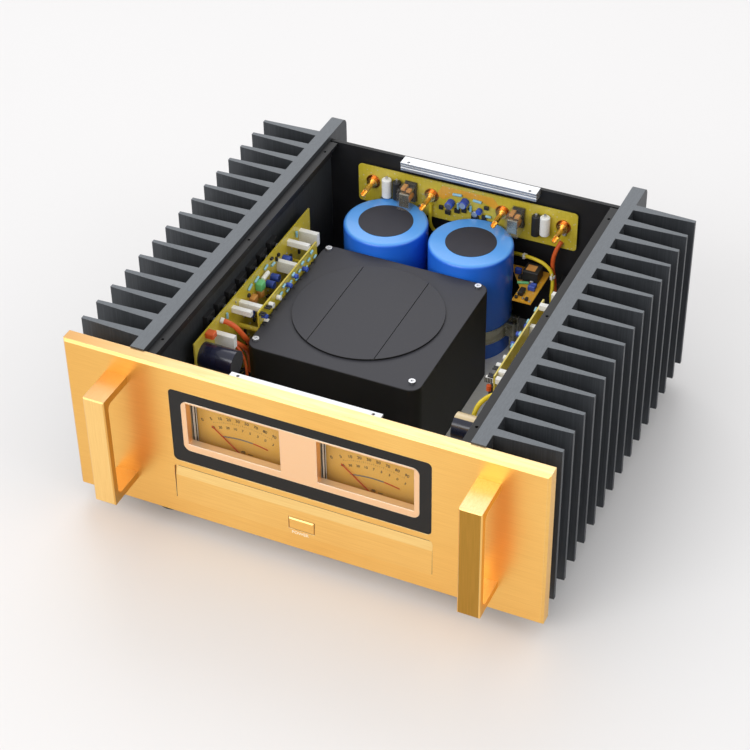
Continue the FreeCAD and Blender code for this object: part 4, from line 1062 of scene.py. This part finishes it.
# %% Parts of the driver boards
for side, sign in SIDES:
    face = 123.2 * sign
    inward = -sign

    def stub(y, z, radius, reach, sides=14):
        """A round part that stands out from the board."""
        return rod((face + inward * GAP, y, z), (face + inward * reach, y, z), radius, sides)

    mount([stub(187, 124, 3.2, 5.5), stub(204, 121.5, 2.6, 5), stub(176, 112, 2.6, 5)],
          f"driver_trimmers_{side}", white_nylon)
    blue = [stub(y, z, 2.5, 6) for y, z in ((172, 121), (226, 122), (240, 124), (262, 118))]
    mount(blue, f"driver_electrolytics_{side}", part_blue)
    pale = []
    for y in range(208, 288, 7):
        x = face + inward * 1.7
        pale.append(rod((x, y, 116 + 5 * (y % 3)), (x, y + 5, 117 + 5 * (y % 3)), 1.2, 10))
    mount(pale, f"driver_resistors_{side}", part_pale)
    dark = []
    for y in (168, 172, 180, 184, 195, 214, 234, 250, 270, 282):
        low, high = sorted((face + inward * GAP, face + inward * 5.5))
        dark.append(slab((low, y - 1.1, 104), (high, y + 1.1, 113), 0.4))
    dark += [stub(y, 126.5, 1.1, 6, 10) for y in (166, 169.5, 178, 181.5)]
    mount(dark, f"driver_transistors_{side}", black_plastic)

low, high = 114.5, 123.1
mount(slab((low, 165.5, 120.5), (high, 170.0, 124.5), 0.5), "driver_header", white_nylon)
mount([slab((low + 1.6 * step, 164.9, 119.0), (low + 1.6 * step + 0.9, 165.4, 124.8), 0.1)
       for step in range(5)], "driver_header_pins", black_plastic)
ribs = [rod((119.5, 163.5, z), (119.5, 163.5, z + 1.6), 2.4, 12) for z in (111.5, 113.8, 116.1)]
mount(ribs, "driver_coil", part_red)

# %% [markdown]
# A nylon tie is a flat strap pulled through its own head: a short ring round
# the wire with a small block on it.

# %% Cable ties
def cable_tie(place, direction, inner, name):
    """A strap and its head round a wire that runs along a direction."""
    ring = turned([(inner, -1.2), (inner + 0.9, -1.2), (inner + 0.9, 1.2), (inner, 1.2)], 20)
    take(ring)
    ring.scale = (MM, MM, MM)
    settle(ring)
    ring.rotation_euler = Vector(direction).to_track_quat("Z", "Y").to_euler()
    ring.location = at(*place)
    settle(ring)
    x, y, z = place
    head = slab((x - 1.4, y - inner - 2.4, z - 1.5), (x + 1.4, y - inner - 0.2, z + 2.2), 0.4)
    tail = rod((x, y - inner - 1.2, z + 2.2), (x + 0.6, y - inner - 1.0, z + 6.0), 0.5, 8)
    return mount([ring, head, tail], name, white_nylon)


cable_tie((67.3, 394.8, 100.5), (11, -5, 4.0), 1.95, "cable_tie_1")
cable_tie((99.7, 390.7, 85.6), (2.4, -2, -13), 2.0, "cable_tie_2")

# %% [markdown]
# Screws are everywhere on a chassis: along the rails, on the power
# transistors, and behind, round the mains inlet. At the back coloured rings
# tell the line inputs and the poles of the speaker terminals apart.

# %% Screws and rings
def screw_rows(name, x, z, places, radius, height):
    """A row of screws on each side, with their heads turned inward."""
    for side, sign in SIDES:
        heads = [at(sign * x, y, z) for y in places]
        mount(spread(cap_screw(radius, height), heads, (0, math.radians(-90 * sign), 0)),
              f"{name}_screws_{side}", steel)


screw_rows("transistor", 153.4, 136, [130 + 22.5 * index for index in range(7)], 2.4, 1.2)
screw_rows("rail", 158.2, 165, (90, 214, 338), 2.0, 1.0)
BACK = 416      # how far back the rear panel's outer face lies


def connector_ring(x, z, steps, name, finish):
    """A coloured ring on the rear panel, from its (radius, height) steps."""
    profile = [(radius * MM, height * MM) for radius, height in steps]
    mount(turned(profile, 32, ALONG_Y, at(x, BACK + LIFT, z)), name, finish)


for name, z, finish in (("lower", 48, white_nylon), ("upper", 80, part_red)):
    connector_ring(-128, z, ((6.1, 0), (9.2, 0), (9.2, 1.2), (8.1, 1.8), (8.05, 2.2)),
                   f"line_input_ring_{name}", finish)
for name, x, finish in ((1, -109.6, part_red), (2, -43, black_plastic),
                        (3, 36.6, black_plastic), (4, 103.2, part_red)):
    connector_ring(x, 139, ((8.6, 0), (9.6, 0), (9.6, 3.4), (8.6, 4.0)),
                   f"terminal_ring_{name}", finish)
heads = [at(118 + shift, BACK + 2.95, 50) for shift in (-20, 20)]
mount(spread(cap_screw(2.8, 1.4), heads, ALONG_Y), "inlet_screws", steel)

# %% [markdown]
# The studio is plain: a pale floor, a large soft light behind, another in
# front, a weak one on the right, and a pale world that fills the shadows. The
# camera looks down on the front from the right with a long lens.

# %% Studio and camera
def area_light(name, place, target, size, power):
    """A soft light that points at a target."""
    light = bpy.data.lights.new(name, "AREA")
    light.shape = "RECTANGLE"
    light.size, light.size_y = size
    light.energy = power
    lamp = bpy.data.objects.new(name, light)
    bpy.context.collection.objects.link(lamp)
    lamp.location = place
    aim = Vector(target) - Vector(place)
    lamp.rotation_euler = aim.to_track_quat("-Z", "Y").to_euler()
    return lamp


def studio():
    """Floor, world and lights."""
    take()
    bpy.ops.mesh.primitive_plane_add(size=14, location=(0, 0, 0))
    floor = bpy.context.object
    floor.name = "studio_floor"
    ground = Finish("Studio floor", (0.78, 0.77, 0.768), roughness=0.4)
    ground.tint(ground.grain((3, 3, 3), 2), (0.80, 0.792, 0.79), strength=0.5)
    floor.data.materials.append(ground.done())
    floor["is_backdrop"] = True
    world = bpy.data.worlds.new("Studio")
    bpy.context.scene.world = world
    world.use_nodes = True
    sky = world.node_tree.nodes["Background"]
    sky.inputs["Color"].default_value = (0.995, 0.995, 1.0, 1)
    sky.inputs["Strength"].default_value = 0.88
    area_light("behind", (-1.25, 2.75, 2.5), (0, 0, 0.1), (3.0, 2.0), 26)
    area_light("front", (-0.9, -2.7, 2.1), (0, -0.4, 0.0), (2.4, 1.6), 40)
    area_light("right", (2.8, -0.4, 1.6), (0, 0, 0.1), (1.4, 1.4), 10)
    bpy.context.scene.view_settings.view_transform = "Standard"


def camera():
    """A long lens, looking down from the front right."""
    data = bpy.data.cameras.new("view")
    data.sensor_width = 36
    data.lens = 96.9
    data.clip_end = 60
    eye = bpy.data.objects.new("view", data)
    bpy.context.collection.objects.link(eye)
    place = Vector((0.6421, -1.4184, 1.3337))
    target = Vector((-0.00814, -0.01965, 0.09119))
    aim = (target - place).to_track_quat("-Z", "Y")
    tilt = Quaternion((0, 0, 1), math.radians(-0.887))
    eye.rotation_euler = (aim @ tilt).to_euler()
    eye.location = place
    bpy.context.scene.camera = eye


studio()
camera()

# %% Bounds of the finished scene
low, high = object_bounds()
